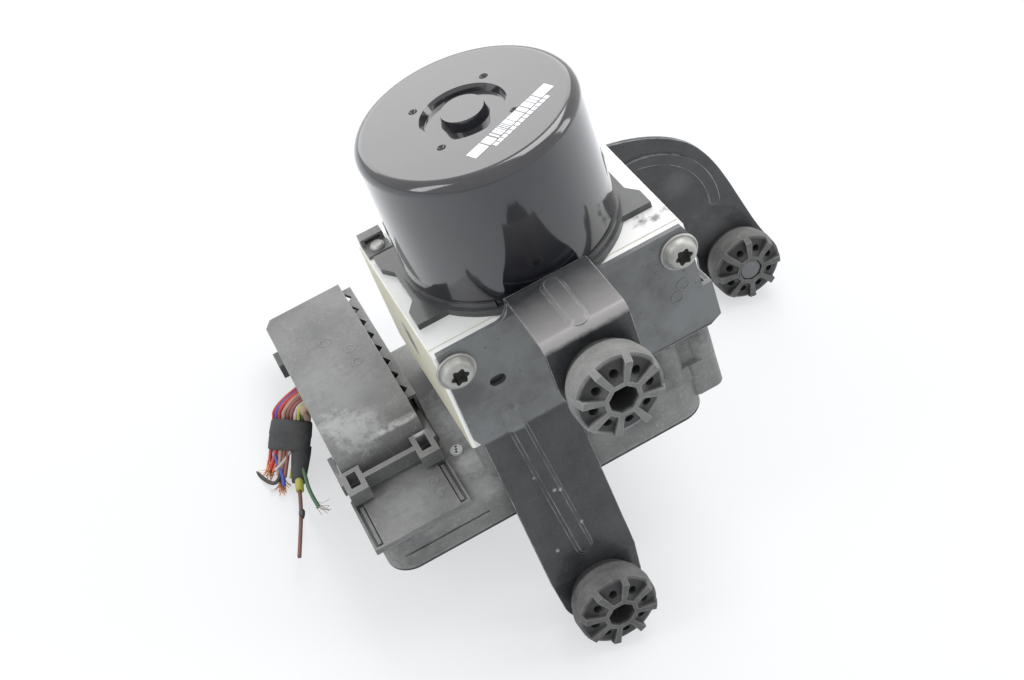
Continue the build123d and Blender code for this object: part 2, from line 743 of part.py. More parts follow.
export_step(plug_cover.part, "parts/plug_cover.step")

# U-shaped lever: cross bar, two window frames, two arms on the pivot pins
with BuildPart() as plug_lever:
    with BuildSketch(Plane.XY.offset(-60.5)):
        with Locations((-90.2, -14.6), (-61.1, -14.6)):
            Rectangle(8.0, 13.0)
        with Locations((-90.2, -14.0), (-61.1, -14.0)):
            Rectangle(4.0, 8.0, mode=Mode.SUBTRACT)
        with Locations((-75.65, -14.4)):
            Rectangle(22, 2.4)
    extrude(amount=5.5)
    with BuildSketch(Plane.YZ.offset(-95.3)) as arm_shape:
        with BuildLine():
            Polyline((-14, -60.5), (5, -62.3), (5, -57.7), (-14, -55.0), close=True)
        make_face()
        with Locations((nose_y, nose_z)):
            Circle(pivot_eye_r)
            Circle(pivot_pin_r + running_gap, mode=Mode.SUBTRACT)
    extrude(amount=2.0)
    with BuildSketch(Plane.YZ.offset(-58.0)):
        with BuildLine():
            Polyline((-14, -60.5), (5, -62.3), (5, -57.7), (-14, -55.0), close=True)
        make_face()
        with Locations((nose_y, nose_z)):
            Circle(pivot_eye_r)
            Circle(pivot_pin_r + running_gap, mode=Mode.SUBTRACT)
    extrude(amount=2.0)
plug_lever.part.label = "plug_lever"
export_step(plug_lever.part, "parts/plug_lever.step")

# ================================================================ bracket, one folded sheet
with BuildPart() as bracket:
    # front plate
    with BuildSketch(Plane.XZ.offset(-plate_front)) as plate_shape:
        with BuildLine():
            Polyline(
                (plate_left, plate_top), (neck_left, plate_top), (neck_left, shelf_top - 2),
                (neck_right, shelf_top - 2), (neck_right, plate_top), (plate_right - 1.5, plate_top),
                (plate_right, -2), (plate_right, -27), (strap_outer, -27), (strap_outer, -43),
                (plate_right - 1, plate_bottom), (leg_right, plate_bottom), (leg_left, plate_bottom),
                (plate_left, -40), close=True)
        make_face()
        fillet(plate_shape.vertices().filter_by(lambda v: abs(v.X - neck_left) < 0.1 and abs(v.Y - plate_top) < 0.1), 6)
        fillet(plate_shape.vertices().filter_by(lambda v: abs(v.X - neck_right) < 0.1 and abs(v.Y - plate_top) < 0.1), 6)
        with Locations(*[(x, bolt_z) for x in bolt_xs]):
            Circle(bolt_r, mode=Mode.SUBTRACT)
        with Locations((-30.4, -20.4)):
            SlotOverall(6.2, 4.4, mode=Mode.SUBTRACT)
    extrude(amount=-sheet)
    # shelf over the plate, bent forward and down again to carry the middle isolator
    with BuildSketch(Plane.YZ.offset(neck_left)) as shelf_side:
        with BuildLine():
            FilletPolyline((plate_front + sheet, shelf_top - 6), (plate_front + sheet, shelf_top),
                           (shelf_reach, shelf_top), (shelf_reach, -28), radius=4)
            FilletPolyline((plate_front, shelf_top - 6), (plate_front, shelf_top - sheet),
                           (shelf_reach + sheet, shelf_top - sheet), (shelf_reach + sheet, -28), radius=2)
            Line((plate_front, shelf_top - 6), (plate_front + sheet, shelf_top - 6))
            Line((shelf_reach, -28), (shelf_reach + sheet, -28))
        make_face()
    extrude(amount=neck_right - neck_left)
    # the end plate is rounded below the isolator and trimmed to it
    with BuildSketch(Plane.XZ.offset(-shelf_reach + 1)) as end_round:
        with Locations((middle_mount[0], middle_mount[1] - 15)):
            Rectangle(40, 30)
        with Locations(middle_mount):
            Circle(15.5, mode=Mode.SUBTRACT)
    extrude(amount=-5, mode=Mode.SUBTRACT)
    with BuildSketch(Plane.XZ.offset(-shelf_reach + 1)):
        with Locations(middle_mount):
            Circle(isolator_hole_r)
    extrude(amount=-5, mode=Mode.SUBTRACT)
    # leg, leaning outward, and its upright pad
    with BuildSketch(Plane.YZ.offset(leg_left)) as leg_side:
        with BuildLine():
            Polyline(
                (plate_front, plate_bottom + 1), (plate_front, plate_bottom), (pad_front, pad_start),
                (pad_front, -141), (pad_front + sheet, -141), (pad_front + sheet, pad_start),
                (plate_front + sheet, plate_bottom), (plate_front + sheet, plate_bottom + 1), close=True)
        make_face()
    extrude(amount=leg_right - leg_left)
    with BuildSketch(Plane.XZ.offset(-pad_front + 1)) as leg_trim:
        with Locations((lower_mount[0], -130)):
            Rectangle(60, 36)
        with BuildLine():
            Polyline((leg_left, -111), (lower_mount[0] - 16.5, lower_mount[1]), (lower_mount[0] + 16.5, lower_mount[1]),
                     (leg_right, -111), close=True)
        make_face(mode=Mode.SUBTRACT)
        with Locations(lower_mount):
            Circle(16.5, mode=Mode.SUBTRACT)
    extrude(amount=-10, mode=Mode.SUBTRACT)
    with BuildSketch(Plane.XZ.offset(-pad_front + 1)):
        with Locations(lower_mount):
            Circle(isolator_hole_r)
    extrude(amount=-6, mode=Mode.SUBTRACT)
    # strap along the right side of the block
    with BuildSketch(Plane.YZ.offset(strap_outer - sheet)) as strap_side:
        with BuildLine():
            Polyline((plate_front, -27), (plate_front, -43), (arm_front + sheet, -69), (arm_front + sheet, -38),
                     close=True)
        make_face()
    extrude(amount=sheet)
    # swan-neck arm behind the block
    with BuildSketch(Plane.XZ.offset(-arm_front)) as arm_shape:
        with BuildLine():
            Spline((strap_outer - sheet, -38.0), (75.6, -42.3), (100.5, -58.3), (112.9, -85.4),
                   (right_mount[0] + 17.0, right_mount[1] + 1.0))
            ThreePointArc((right_mount[0] + 17.0, right_mount[1] + 1.0), (right_mount[0], right_mount[1] - 17.0),
                          (right_mount[0] - 16.5, right_mount[1] + 4.0))
            Spline((right_mount[0] - 16.5, right_mount[1] + 4.0), (84.5, -93.0), (73.0, -75.0),
                   (strap_outer - sheet, -69.0))
            Line((strap_outer - sheet, -69.0), (strap_outer - sheet, -38.0))
        make_face()
        with Locations(right_mount):
            Circle(isolator_hole_r, mode=Mode.SUBTRACT)
    extrude(amount=-sheet)
    # stiffening beads, pressed out of the sheet from behind: down the leg, over its fold and over the shelf
    leg_way = Vector(0, pad_front - plate_front, pad_start - plate_bottom).normalized()
    leg_out = Vector(0, leg_way.Z, -leg_way.Y)
    leg_bead_way = (leg_way * 69 + Vector(4.4, 0, 0)).normalized()
    leg_bead_top = Vector(-30.4, plate_front, plate_bottom)
    for middle, along, outward, length, width in (
            (leg_bead_top + leg_bead_way * 29, leg_bead_way, leg_out, 64, bead_w),
            (Vector(-30.6, plate_front, -40.5), Vector(0, 0, 1), Vector(0, -1, 0), 15, bead_w),
            (Vector(-2.5, -58.2, shelf_top), Vector(0, 1, 0), Vector(0, 0, 1), 27.5, bead_w + 1)):
        for depth, mode in ((0, Mode.ADD), (sheet, Mode.SUBTRACT)):
            with BuildSketch(Plane(origin=middle - outward * depth, x_dir=along, z_dir=outward)):
                SlotOverall(length, width)
            extrude(amount=bead_h, taper=bead_slope, mode=mode)
    # curved bead that follows the arm's bend
    arm_bead_line = Edge.make_three_point_arc((71.3, -54.2), (97.0, -66.8), (104.4, -91.0))
    for depth, mode in ((0, Mode.ADD), (sheet, Mode.SUBTRACT)):
        with BuildSketch(Plane.XZ.offset(-arm_front - depth)):
            SlotArc(arm_bead_line, arm_bead_w)
        extrude(amount=arm_bead_h, mode=mode)
bracket.part.label = "bracket"
export_step(bracket.part, "parts/bracket.step")

# pan-head bolts with a pressed flange and a six-lobe socket
with BuildPart() as bracket_bolts:
    for x in bolt_xs:
        with BuildSketch(Plane.XZ.offset(-plate_front)):
            with Locations((x, bolt_z)):
                Circle(bolt_head_r)
        extrude(amount=1.2)
        with BuildSketch(Plane.XZ.offset(-plate_front + 1.2)):
            with Locations((x, bolt_z)):
                Circle(bolt_head_r - 0.8)
        extrude(amount=3.2, taper=24)
        with BuildSketch(Plane.XZ.offset(-plate_front + 4.4)):
            with Locations((x, bolt_z)):
                RegularPolygon(3.0, 6)
        extrude(amount=-3.0, mode=Mode.SUBTRACT)
        with BuildSketch(Plane.XZ.offset(-plate_front)):
            with Locations((x, bolt_z)):
                Circle(bolt_r)
        extrude(amount=-18)
bracket_bolts.part.label = "bracket_bolts"
export_step(bracket_bolts.part, "parts/bracket_bolts.step")


# ================================================================ isolators
def make_isolator(name, mount, carrier_front, phase):
    """Rubber isolator: round body, star-shaped face with eight pockets, neck and lip in the sheet's hole."""
    x, z = mount
    face = Plane(origin=(x, carrier_front - isolator_front, z), x_dir=(1, 0, 0), z_dir=(0, -1, 0))
    side = Plane(origin=face.origin, x_dir=(1, 0, 0), z_dir=(0, 0, 1))
    back = isolator_front
    with BuildPart() as isolator:
        with BuildSketch(side):
            with BuildLine():
                Polyline(
                    (isolator_bore_r, 0), (14.6, 0), (isolator_r - 0.3, 2.6), (isolator_r, 8.5),
                    (isolator_r - 1.2, 13.0), (12.5, back), (isolator_hole_r, back),
                    (isolator_hole_r, back + sheet), (10.5, back + sheet), (9.2, back + 5.0),
                    (isolator_bore_r, back + 5.0), close=True)
            make_face()
        revolve(axis=Axis((x, 0, z), (0, 1, 0)))
        for step in range(8):
            turn = radians(45 * step + phase)
            out = Vector(cos(turn), 0, sin(turn))
            slope = radians(16)
            start = Vector(*face.origin) + out * 6.4 + Vector(0, 0.8, 0)
            pocket = Plane(
                origin=start,
                x_dir=out * cos(slope) + Vector(0, sin(slope), 0),
                z_dir=out * sin(slope) - Vector(0, cos(slope), 0))
            with BuildSketch(pocket):
                with BuildLine():
                    Polyline((0, -1.7), (12, -6.0), (12, 6.0), (0, 1.7), close=True)
                make_face()
            extrude(amount=8, mode=Mode.SUBTRACT)
        with BuildSketch(face):
            with PolarLocations(10.25, 8, start_angle=phase):
                Circle(1.6)
        extrude(amount=-9, mode=Mode.SUBTRACT)
        with BuildSketch(face):
            RegularPolygon(isolator_bore_r + 0.45, 8, rotation=22.5 + phase)
        extrude(amount=-2.0, mode=Mode.SUBTRACT)
    isolator.part.label = name
    export_step(isolator.part, f"parts/{name}.step")


make_isolator("isolator_middle", middle_mount, shelf_reach, 0)
make_isolator("isolator_lower", lower_mount, pad_front, 0)
make_isolator("isolator_right", right_mount, arm_front, right_phase)

with BuildPart() as isolator_pin:
    with BuildSketch(Plane.XZ.offset(-(arm_front - isolator_front + 0.6))):
        with Locations(right_mount):
            Circle(isolator_bore_r)
    extrude(amount=-(isolator_front + 5.0))
    chamfer(isolator_pin.edges().group_by(Axis.Y)[0], 0.6)
isolator_pin.part.label = "isolator_pin"
export_step(isolator_pin.part, "parts/isolator_pin.step")

# ================================================================ harness stub
# Cut wires leave the outlet, run side by side through a turn of tape and end bare.
tape_axis = (Vector(*tape_end) - Vector(*tape_start)).normalized()
tape_across = tape_axis.cross(Vector(0, 0, 1)).normalized()
tape_up = tape_across.cross(tape_axis).normalized()
# name, place across the tape and above its middle, free end beyond the tape
wires = (
    ("wire_red", 4.6, 0.6, ((-117.5, 41.5, -77.5),)),
    ("wire_black", 2.3, -1.6, ((-115.0, 33.5, -78.5), (-120.5, 36.5, -79.5), (-123.2, 45.5, -78.5))),
    ("wire_blue", 0.0, 1.0, ((-113.5, 30.5, -76.5), (-117.0, 24.0, -78.0))),
    ("wire_brown", -2.3, -1.0, ((-109.3, 26.5, -78.5), (-113.2, 13.5, -80.5), (-117.5, 2.0, -81.0),
                                (-121.5, -9.5, -80.5))),
    ("wire_green", -4.6, 0.8, ((-106.8, 27.0, -77.0), (-108.0, 17.0, -78.5), (-106.6, 8.0, -79.5))),
)


def wire_route(across, above, tail):
    """The points of one wire, from the terminal hood through the tape to its free end."""
    shift = tape_across * across + tape_up * above
    enter = Vector(*tape_start) + shift
    leave = Vector(*tape_end) + shift
    outlet_y = tape_start[1] - 1.0 + across
    outlet = Vector(hood_left, outlet_y, -57.0)
    clear_of_wall = Vector(-95.3, outlet_y, -57.0)
    turning_down = Vector(enter.X + 1.6, (outlet_y + enter.Y) / 2, enter.Z + 4.6)
    return [outlet, clear_of_wall, turning_down, enter, leave] + [Vector(*point) for point in tail]


def bend_radii(points):
    """Each corner's arc: as large as its two straight runs allow."""
    radii = []
    for before, corner, after in zip(points, points[1:], points[2:]):
        turn = radians((corner - before).get_angle(after - corner))
        radii.append(0.45 * min((corner - before).length, (after - corner).length) / tan(turn / 2))
    return radii


with BuildPart() as tape_wrap:
    with BuildSketch(Plane(origin=tape_start, x_dir=tape_across, z_dir=tape_axis)):
        Ellipse(7.2, 4.4)
    extrude(amount=(Vector(*tape_end) - Vector(*tape_start)).length)
    for name, across, above, tail in wires:
        shift = tape_across * across + tape_up * above
        with BuildSketch(Plane(origin=Vector(*tape_start) + shift, z_dir=tape_axis)):
            Circle(wire_d / 2)
        extrude(amount=20, mode=Mode.SUBTRACT)
tape_wrap.part.label = "tape_wrap"
export_step(tape_wrap.part, "parts/tape_wrap.step")

for name, across, above, tail in wires:
    points = wire_route(across, above, tail)
    radii = bend_radii(points)
    with BuildPart() as wire:
        with BuildLine() as route:
            FilletPolyline(*points, radius=radii)
        with BuildSketch(Plane(origin=points[0], z_dir=points[1] - points[0])):
            Circle(wire_d / 2)
        sweep()
    wire.part.label = name
    export_step(wire.part, f"parts/{name}.step")
    length = sum(edge.length for edge in route.edges())
    print(name, "length", round(length, 1), "radii", [round(r, 1) for r in radii],
          "volume over section times length", round(wire.part.volume / (pi * wire_d ** 2 / 4 * length), 3))
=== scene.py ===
import math
import random

import bpy
from mathutils import Matrix, Vector


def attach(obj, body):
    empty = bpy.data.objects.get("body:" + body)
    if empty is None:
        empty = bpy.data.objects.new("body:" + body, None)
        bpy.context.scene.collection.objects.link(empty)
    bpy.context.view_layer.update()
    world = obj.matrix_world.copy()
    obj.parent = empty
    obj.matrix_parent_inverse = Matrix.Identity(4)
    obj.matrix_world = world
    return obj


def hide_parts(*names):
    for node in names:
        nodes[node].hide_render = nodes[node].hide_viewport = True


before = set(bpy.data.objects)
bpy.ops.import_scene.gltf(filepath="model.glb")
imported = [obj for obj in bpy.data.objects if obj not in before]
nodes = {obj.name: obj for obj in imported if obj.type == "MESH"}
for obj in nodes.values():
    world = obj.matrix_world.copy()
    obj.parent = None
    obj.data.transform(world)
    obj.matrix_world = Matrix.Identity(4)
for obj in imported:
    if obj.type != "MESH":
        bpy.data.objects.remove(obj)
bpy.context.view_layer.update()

MM = 0.001

# ---------------------------------------------------------------- places, in metres
table_normal = Vector((0.277, -0.277, 0.918)).normalized()
table_height = -0.1179            # the table plane's distance from the origin, along its normal
can_top = 55.5 * MM
plate_front = -42.0 * MM
plate_bottom = -45.5 * MM
shelf_bottom = 2.5 * MM
shelf_edge = 7.0 * MM             # above it the sheet is the shelf alone
block_left = -48.0 * MM
joint_line = -82.5 * MM           # between the control unit's housing and its cover
cover_front = -5.0 * MM
bolt_xs = (-42.3 * MM, 44.5 * MM)
bolt_z = -7.5 * MM
bolt_head_r = 7.2 * MM
isolator_front = 17.3 * MM
block_hole = Vector((-30.5, -40.0, -21.2)) * MM   # place of the painted shade on the block behind the hole in the plate
isolator_mounts = {
    "isolator_middle": Vector((-2.5, -74.0, -9.2)) * MM,
    "isolator_lower": Vector((-26.6, -57.0, -123.3)) * MM,
    "isolator_right": Vector((106.3, 74.3, -123.0)) * MM,
}
vent_place = Vector((-51.5, -16.0, -64.1)) * MM

# heights of the connector's two flat tops, for places that are given in millimetres
shell_top = -48.0
panel_top = -62.5


# ---------------------------------------------------------------- helpers for node trees
def new_group(name, inputs, outputs):
    """An empty shader node group with named sockets: (name, kind, start value)."""
    tree = bpy.data.node_groups.new(name, "ShaderNodeTree")
    for label, kind, value in inputs:
        socket = tree.interface.new_socket(name=label, in_out="INPUT", socket_type=kind)
        socket.default_value = value
    for label, kind in outputs:
        tree.interface.new_socket(name=label, in_out="OUTPUT", socket_type=kind)
    return tree, tree.nodes.new("NodeGroupInput"), tree.nodes.new("NodeGroupOutput")


def math_node(tree, operation, first, second=None, clamp=False):
    """Output of a math node; each side is a number or another node's output."""
    node = tree.nodes.new("ShaderNodeMath")
    node.operation = operation
    node.use_clamp = clamp
    for socket, value in zip(node.inputs, (first, second)):
        if value is None:
            continue
        if isinstance(value, (int, float)):
            socket.default_value = value
        else:
            tree.links.new(value, socket)
    return node.outputs[0]


def noise_node(tree, vector, scale, detail=4.0, roughness=0.55):
    """Output of a noise texture; the scale is a number or another node's output."""
    node = tree.nodes.new("ShaderNodeTexNoise")
    node.inputs["Detail"].default_value = detail
    node.inputs["Roughness"].default_value = roughness
    if isinstance(scale, (int, float)):
        node.inputs["Scale"].default_value = scale
    else:
        tree.links.new(scale, node.inputs["Scale"])
    tree.links.new(vector, node.inputs["Vector"])
    return node.outputs["Fac"]


def spread(tree, value, low, high):
    """Stretches the part of a value between low and high over 0 to 1."""
    node = tree.nodes.new("ShaderNodeMapRange")
    node.inputs["From Min"].default_value = low
    node.inputs["From Max"].default_value = high
    tree.links.new(value, node.inputs["Value"])
    return node.outputs["Result"]


def mix_colour(tree, factor, first, second):
    """The first colour where the factor is 0, the second where it is 1; each is a tuple or an output."""
    node = tree.nodes.new("ShaderNodeMix")
    node.data_type = "RGBA"
    tree.links.new(factor, node.inputs["Factor"])
    for socket, value in ((node.inputs["A"], first), (node.inputs["B"], second)):
        if isinstance(value, tuple):
            socket.default_value = (*value, 1.0)
        else:
            tree.links.new(value, socket)
    return node.outputs["Result"]


def object_place(tree):
    """The place on the piece, in metres."""
    return tree.nodes.new("ShaderNodeTexCoord").outputs["Object"]


# ---------------------------------------------------------------- shared effects
def make_worn_edges():
    """Mask of the outer corners, where the finish is rubbed through."""
    tree, given, result = new_group(
        "worn edges",
        [("Width", "NodeSocketFloat", 0.0006), ("Amount", "NodeSocketFloat", 0.5)],
        [("Mask", "NodeSocketFloat")])
    bevel = tree.nodes.new("ShaderNodeBevel")
    bevel.samples = 4
    tree.links.new(given.outputs["Width"], bevel.inputs["Radius"])
    surface = tree.nodes.new("ShaderNodeNewGeometry")
    dot = tree.nodes.new("ShaderNodeVectorMath")
    dot.operation = "DOT_PRODUCT"
    tree.links.new(bevel.outputs["Normal"], dot.inputs[0])
    tree.links.new(surface.outputs["Normal"], dot.inputs[1])
    turned = math_node(tree, "SUBTRACT", 1.0, dot.outputs["Value"])
    edge = spread(tree, turned, 0.01, 0.2)
    place = object_place(tree)
    broken = spread(tree, noise_node(tree, place, scale=180.0), 0.30, 0.62)
    rubbed = math_node(tree, "MULTIPLY", edge, broken)
    amount = math_node(tree, "MULTIPLY", rubbed, given.outputs["Amount"], True)
    tree.links.new(amount, result.inputs["Mask"])
    return tree


def make_dust():
    """Mask of settled dust: patchy, thicker on surfaces that face up."""
    tree, given, result = new_group(
        "dust",
        [("Scale", "NodeSocketFloat", 60.0), ("Amount", "NodeSocketFloat", 0.4),
         ("Upward", "NodeSocketFloat", 0.5)],
        [("Mask", "NodeSocketFloat")])
    place = object_place(tree)
    surface = tree.nodes.new("ShaderNodeNewGeometry")
    split = tree.nodes.new("ShaderNodeSeparateXYZ")
    tree.links.new(surface.outputs["Normal"], split.inputs[0])
    facing = spread(tree, split.outputs["Z"], -0.3, 1.0)
    lifted = math_node(tree, "MULTIPLY", facing, given.outputs["Upward"])
    patches = noise_node(tree, place, given.outputs["Scale"], detail=6.0, roughness=0.65)
    broad = spread(tree, patches, 0.35, 0.72)
    specks = spread(tree, noise_node(tree, place, scale=900.0, detail=2.0), 0.56, 0.7)
    film = math_node(tree, "ADD", broad, lifted)
    both = math_node(tree, "ADD", film, math_node(tree, "MULTIPLY", specks, 0.5))
    tree.links.new(math_node(tree, "MULTIPLY", both, given.outputs["Amount"], True), result.inputs["Mask"])
    return tree


def make_grain():
    """Height of a fine surface grain."""
    tree, given, result = new_group(
        "grain",
        [("Scale", "NodeSocketFloat", 1500.0)],
        [("Height", "NodeSocketFloat")])
    place = object_place(tree)
    fine = noise_node(tree, place, given.outputs["Scale"], detail=3.0)
    broad = noise_node(tree, place, scale=120.0, detail=3.0)
    both = math_node(tree, "ADD", fine, math_node(tree, "MULTIPLY", broad, 0.4))
    tree.links.new(both, result.inputs["Height"])
    return tree


def make_scratches():
    """Mask of thin, broken handling scratches along one slanted direction."""
    tree, given, result = new_group(
        "scratches",
        [("Density", "NodeSocketFloat", 0.5), ("Slant", "NodeSocketFloat", 0.6)],
        [("Mask", "NodeSocketFloat")])
    place = object_place(tree)
    turn = tree.nodes.new("ShaderNodeVectorRotate")
    turn.rotation_type = "AXIS_ANGLE"
    turn.inputs["Axis"].default_value = (0.3, 1.0, 0.2)
    tree.links.new(place, turn.inputs["Vector"])
    tree.links.new(given.outputs["Slant"], turn.inputs["Angle"])
    stretch = tree.nodes.new("ShaderNodeVectorMath")
    stretch.operation = "MULTIPLY"
    stretch.inputs[1].default_value = (900.0, 40.0, 40.0)
    tree.links.new(turn.outputs["Vector"], stretch.inputs[0])
    lines = spread(tree, noise_node(tree, stretch.outputs["Vector"], scale=1.0, detail=2.0), 0.7, 0.78)
    patches = spread(tree, noise_node(tree, place, scale=45.0), 0.5, 0.62)
    both = math_node(tree, "MULTIPLY", lines, patches)
    tree.links.new(math_node(tree, "MULTIPLY", both, given.outputs["Density"], True), result.inputs["Mask"])
    return tree


def make_band():
    """Mask of the stretch where the place along one direction lies between two limits.

    Its ends fade over Soft metres, and Ragged says how much of that a noise moves them.
    """
    tree, given, result = new_group(
        "band",
        [("Direction", "NodeSocketVector", (0.0, 0.0, 1.0)), ("Low", "NodeSocketFloat", 0.0),
         ("High", "NodeSocketFloat", 1.0), ("Soft", "NodeSocketFloat", 0.001),
         ("Ragged", "NodeSocketFloat", 1.0)],
        [("Mask", "NodeSocketFloat")])
    place = object_place(tree)
    along = tree.nodes.new("ShaderNodeVectorMath")
    along.operation = "DOT_PRODUCT"
    tree.links.new(place, along.inputs[0])
    tree.links.new(given.outputs["Direction"], along.inputs[1])
    soft = given.outputs["Soft"]
    ragged = math_node(tree, "SUBTRACT", noise_node(tree, place, scale=350.0), 0.5)
    uneven = math_node(tree, "MULTIPLY", math_node(tree, "MULTIPLY", ragged, soft), given.outputs["Ragged"])
    value = math_node(tree, "ADD", along.outputs["Value"], uneven)
    rise = math_node(tree, "DIVIDE", math_node(tree, "SUBTRACT", value, given.outputs["Low"]), soft, True)
    fall = math_node(tree, "DIVIDE", math_node(tree, "SUBTRACT", given.outputs["High"], value), soft, True)
    tree.links.new(math_node(tree, "MULTIPLY", rise, fall), result.inputs["Mask"])
    return tree


def make_blotch():
    """Mask of a ragged spot round one place."""
    tree, given, result = new_group(
        "blotch",
        [("Place", "NodeSocketVector", (0.0, 0.0, 0.0)), ("Size", "NodeSocketFloat", 0.005),
         ("Ragged", "NodeSocketFloat", 1.0), ("Sharp", "NodeSocketFloat", 1.5)],
        [("Mask", "NodeSocketFloat")])
    place = object_place(tree)
    away = tree.nodes.new("ShaderNodeVectorMath")
    away.operation = "DISTANCE"
    tree.links.new(place, away.inputs[0])
    tree.links.new(given.outputs["Place"], away.inputs[1])
    reach = math_node(tree, "DIVIDE", away.outputs["Value"], given.outputs["Size"])
    cloud = noise_node(tree, place, scale=320.0, detail=9.0, roughness=0.72)
    noise = math_node(tree, "SUBTRACT", cloud, 0.5)
    ragged = math_node(tree, "MULTIPLY", math_node(tree, "MULTIPLY", noise, given.outputs["Ragged"]), 2.6)
    inside = math_node(tree, "SUBTRACT", 1.0, math_node(tree, "ADD", reach, ragged))
    tree.links.new(math_node(tree, "MULTIPLY", inside, given.outputs["Sharp"], True), result.inputs["Mask"])
    return tree


worn_edges = make_worn_edges()
dust = make_dust()
grain = make_grain()
scratches = make_scratches()
band = make_band()
blotch = make_blotch()


def place_group(tree, group, **values):
    """One of the effects above, with this material's own values."""
    node = tree.nodes.new("ShaderNodeGroup")
    node.node_tree = group
    for label, value in values.items():
        node.inputs[label].default_value = value
    return node


def finish_material(name, base, roughness, metallic=0.0, coat=0.0, variation=0.25, edge=None, dusty=None,
                    scratched=None, bump=(1500.0, 0.05)):
    """A finish: base colour with slight variation, dust, scratches and worn edges over it, and a grain.

    edge is (tint, width, amount), dusty is (tint, amount, scale, upward), scratched is (tint, density,
    slant) and bump is the grain's (scale, strength).
    """
    material = bpy.data.materials.new(name)
    material.use_nodes = True
    tree = material.node_tree
    shader = tree.nodes["Principled BSDF"]
    place = object_place(tree)
    shade = spread(tree, noise_node(tree, place, scale=70.0, detail=5.0), 0.3, 0.7)
    darker = tuple(channel * (1 - variation) for channel in base)
    colour = mix_colour(tree, shade, darker, base)
    rough = math_node(tree, "ADD", math_node(tree, "MULTIPLY", shade, 0.08), roughness - 0.04)
    if scratched:
        tint, density, slant = scratched
        lines = place_group(tree, scratches, Density=density, Slant=slant).outputs["Mask"]
        colour = mix_colour(tree, lines, colour, tint)
    if dusty:
        tint, amount, scale, upward = dusty
        film = place_group(tree, dust, Amount=amount, Scale=scale, Upward=upward).outputs["Mask"]
        colour = mix_colour(tree, film, colour, tint)
        rough = math_node(tree, "ADD", rough, math_node(tree, "MULTIPLY", film, 0.35), True)
    if edge:
        tint, width, amount = edge
        rubbed = place_group(tree, worn_edges, Width=width, Amount=amount).outputs["Mask"]
        colour = mix_colour(tree, rubbed, colour, tint)
    tree.links.new(colour, shader.inputs["Base Color"])
    tree.links.new(rough, shader.inputs["Roughness"])
    shader.inputs["Metallic"].default_value = metallic
    shader.inputs["Coat Weight"].default_value = coat
    shader.inputs["Coat Roughness"].default_value = 0.06
    grain_scale, grain_strength = bump
    relief = tree.nodes.new("ShaderNodeBump")
    relief.inputs["Distance"].default_value = 0.2 * MM
    relief.inputs["Strength"].default_value = grain_strength
    tree.links.new(place_group(tree, grain, Scale=grain_scale).outputs["Height"], relief.inputs["Height"])
    tree.links.new(relief.outputs["Normal"], shader.inputs["Normal"])
    return material


def tint_where(material, mask, tint, roughness=None):
    """Lays a tint, and a roughness if one is given, over a finish where the mask is set."""
    tree = material.node_tree
    shader = tree.nodes["Principled BSDF"]
    colour = shader.inputs["Base Color"].links[0].from_socket
    tree.links.new(mix_colour(tree, mask, colour, tint), shader.inputs["Base Color"])
    if roughness is not None:
        before = shader.inputs["Roughness"].links[0].from_socket
        mixed = tree.nodes.new("ShaderNodeMix")
        tree.links.new(mask, mixed.inputs["Factor"])
        tree.links.new(before, mixed.inputs["A"])
        mixed.inputs["B"].default_value = roughness
        tree.links.new(mixed.outputs["Result"], shader.inputs["Roughness"])


def band_mask(material, direction, low, high, soft, ragged=1.0):
    """A band over this material, with its limits in metres along the direction."""
    return place_group(material.node_tree, band, Direction=direction, Low=low, High=high, Soft=soft,
                       Ragged=ragged).outputs["Mask"]


def blotch_mask(material, place, size, ragged, sharp=1.5):
    """A blotch over this material, with its place and size in metres."""
    return place_group(material.node_tree, blotch, Place=tuple(place), Size=size, Ragged=ragged,
                       Sharp=sharp).outputs["Mask"]


def lay_blotches(material, spots, ragged, sharp):
    """Blotches of one kind over a finish: place and size in millimetres, and a grey or a colour for each."""
    for place, size, tint in spots:
        if not isinstance(tint, tuple):
            tint = (tint, tint, tint)
        tint_where(material, blotch_mask(material, Vector(place) * MM, size * MM, ragged, sharp), tint)


def patchy(material, mask, scale, low, high):
    """The mask, broken up by a broad noise."""
    tree = material.node_tree
    place = object_place(tree)
    noise = spread(tree, noise_node(tree, place, scale, detail=6.0, roughness=0.65), low, high)
    return math_node(tree, "MULTIPLY", mask, noise)


# ---------------------------------------------------------------- finishes
brown_dust = (0.30, 0.27, 0.22)
pale_dust = (0.42, 0.42, 0.40)

black_lacquer = finish_material("black lacquer", (0.010, 0.011, 0.017), 0.13, coat=1.0,
                                dusty=(brown_dust, 0.04, 55.0, 0.3), scratched=((0.2, 0.2, 0.22), 0.35, 0.9),
                                bump=(300.0, 0.02))
grey_flange = finish_material("grey flange", (0.030, 0.031, 0.034), 0.34, coat=0.4,
                              edge=((0.22, 0.22, 0.23), 0.0005, 0.5), dusty=(pale_dust, 0.10, 60.0, 0.4))
pale_aluminium = finish_material("pale aluminium", (0.93, 0.925, 0.90), 0.45, variation=0.04,
                                 edge=((0.66, 0.62, 0.44), 0.0010, 0.5),
                                 dusty=((0.70, 0.66, 0.54), 0.05, 90.0, 0.1), bump=(700.0, 0.10))
# Its bright rubbed edges are partly bare metal and partly painted highlights along the sheet's edges, bends
# and bead.
black_sheet = finish_material("black coated sheet", (0.020, 0.021, 0.024), 0.33, coat=0.25,
                              edge=((0.62, 0.62, 0.62), 0.0006, 1.0),
                              dusty=((0.13, 0.135, 0.14), 0.24, 75.0, 0.2),
                              scratched=((0.30, 0.30, 0.30), 0.6, 0.5), bump=(900.0, 0.10))
black_plastic = finish_material("black plastic", (0.105, 0.106, 0.106), 0.48, variation=0.2,
                                edge=((0.42, 0.42, 0.41), 0.0007, 0.7), dusty=(pale_dust, 0.30, 42.0, 0.45),
                                scratched=((0.34, 0.34, 0.34), 0.6, 0.3), bump=(1700.0, 0.12))
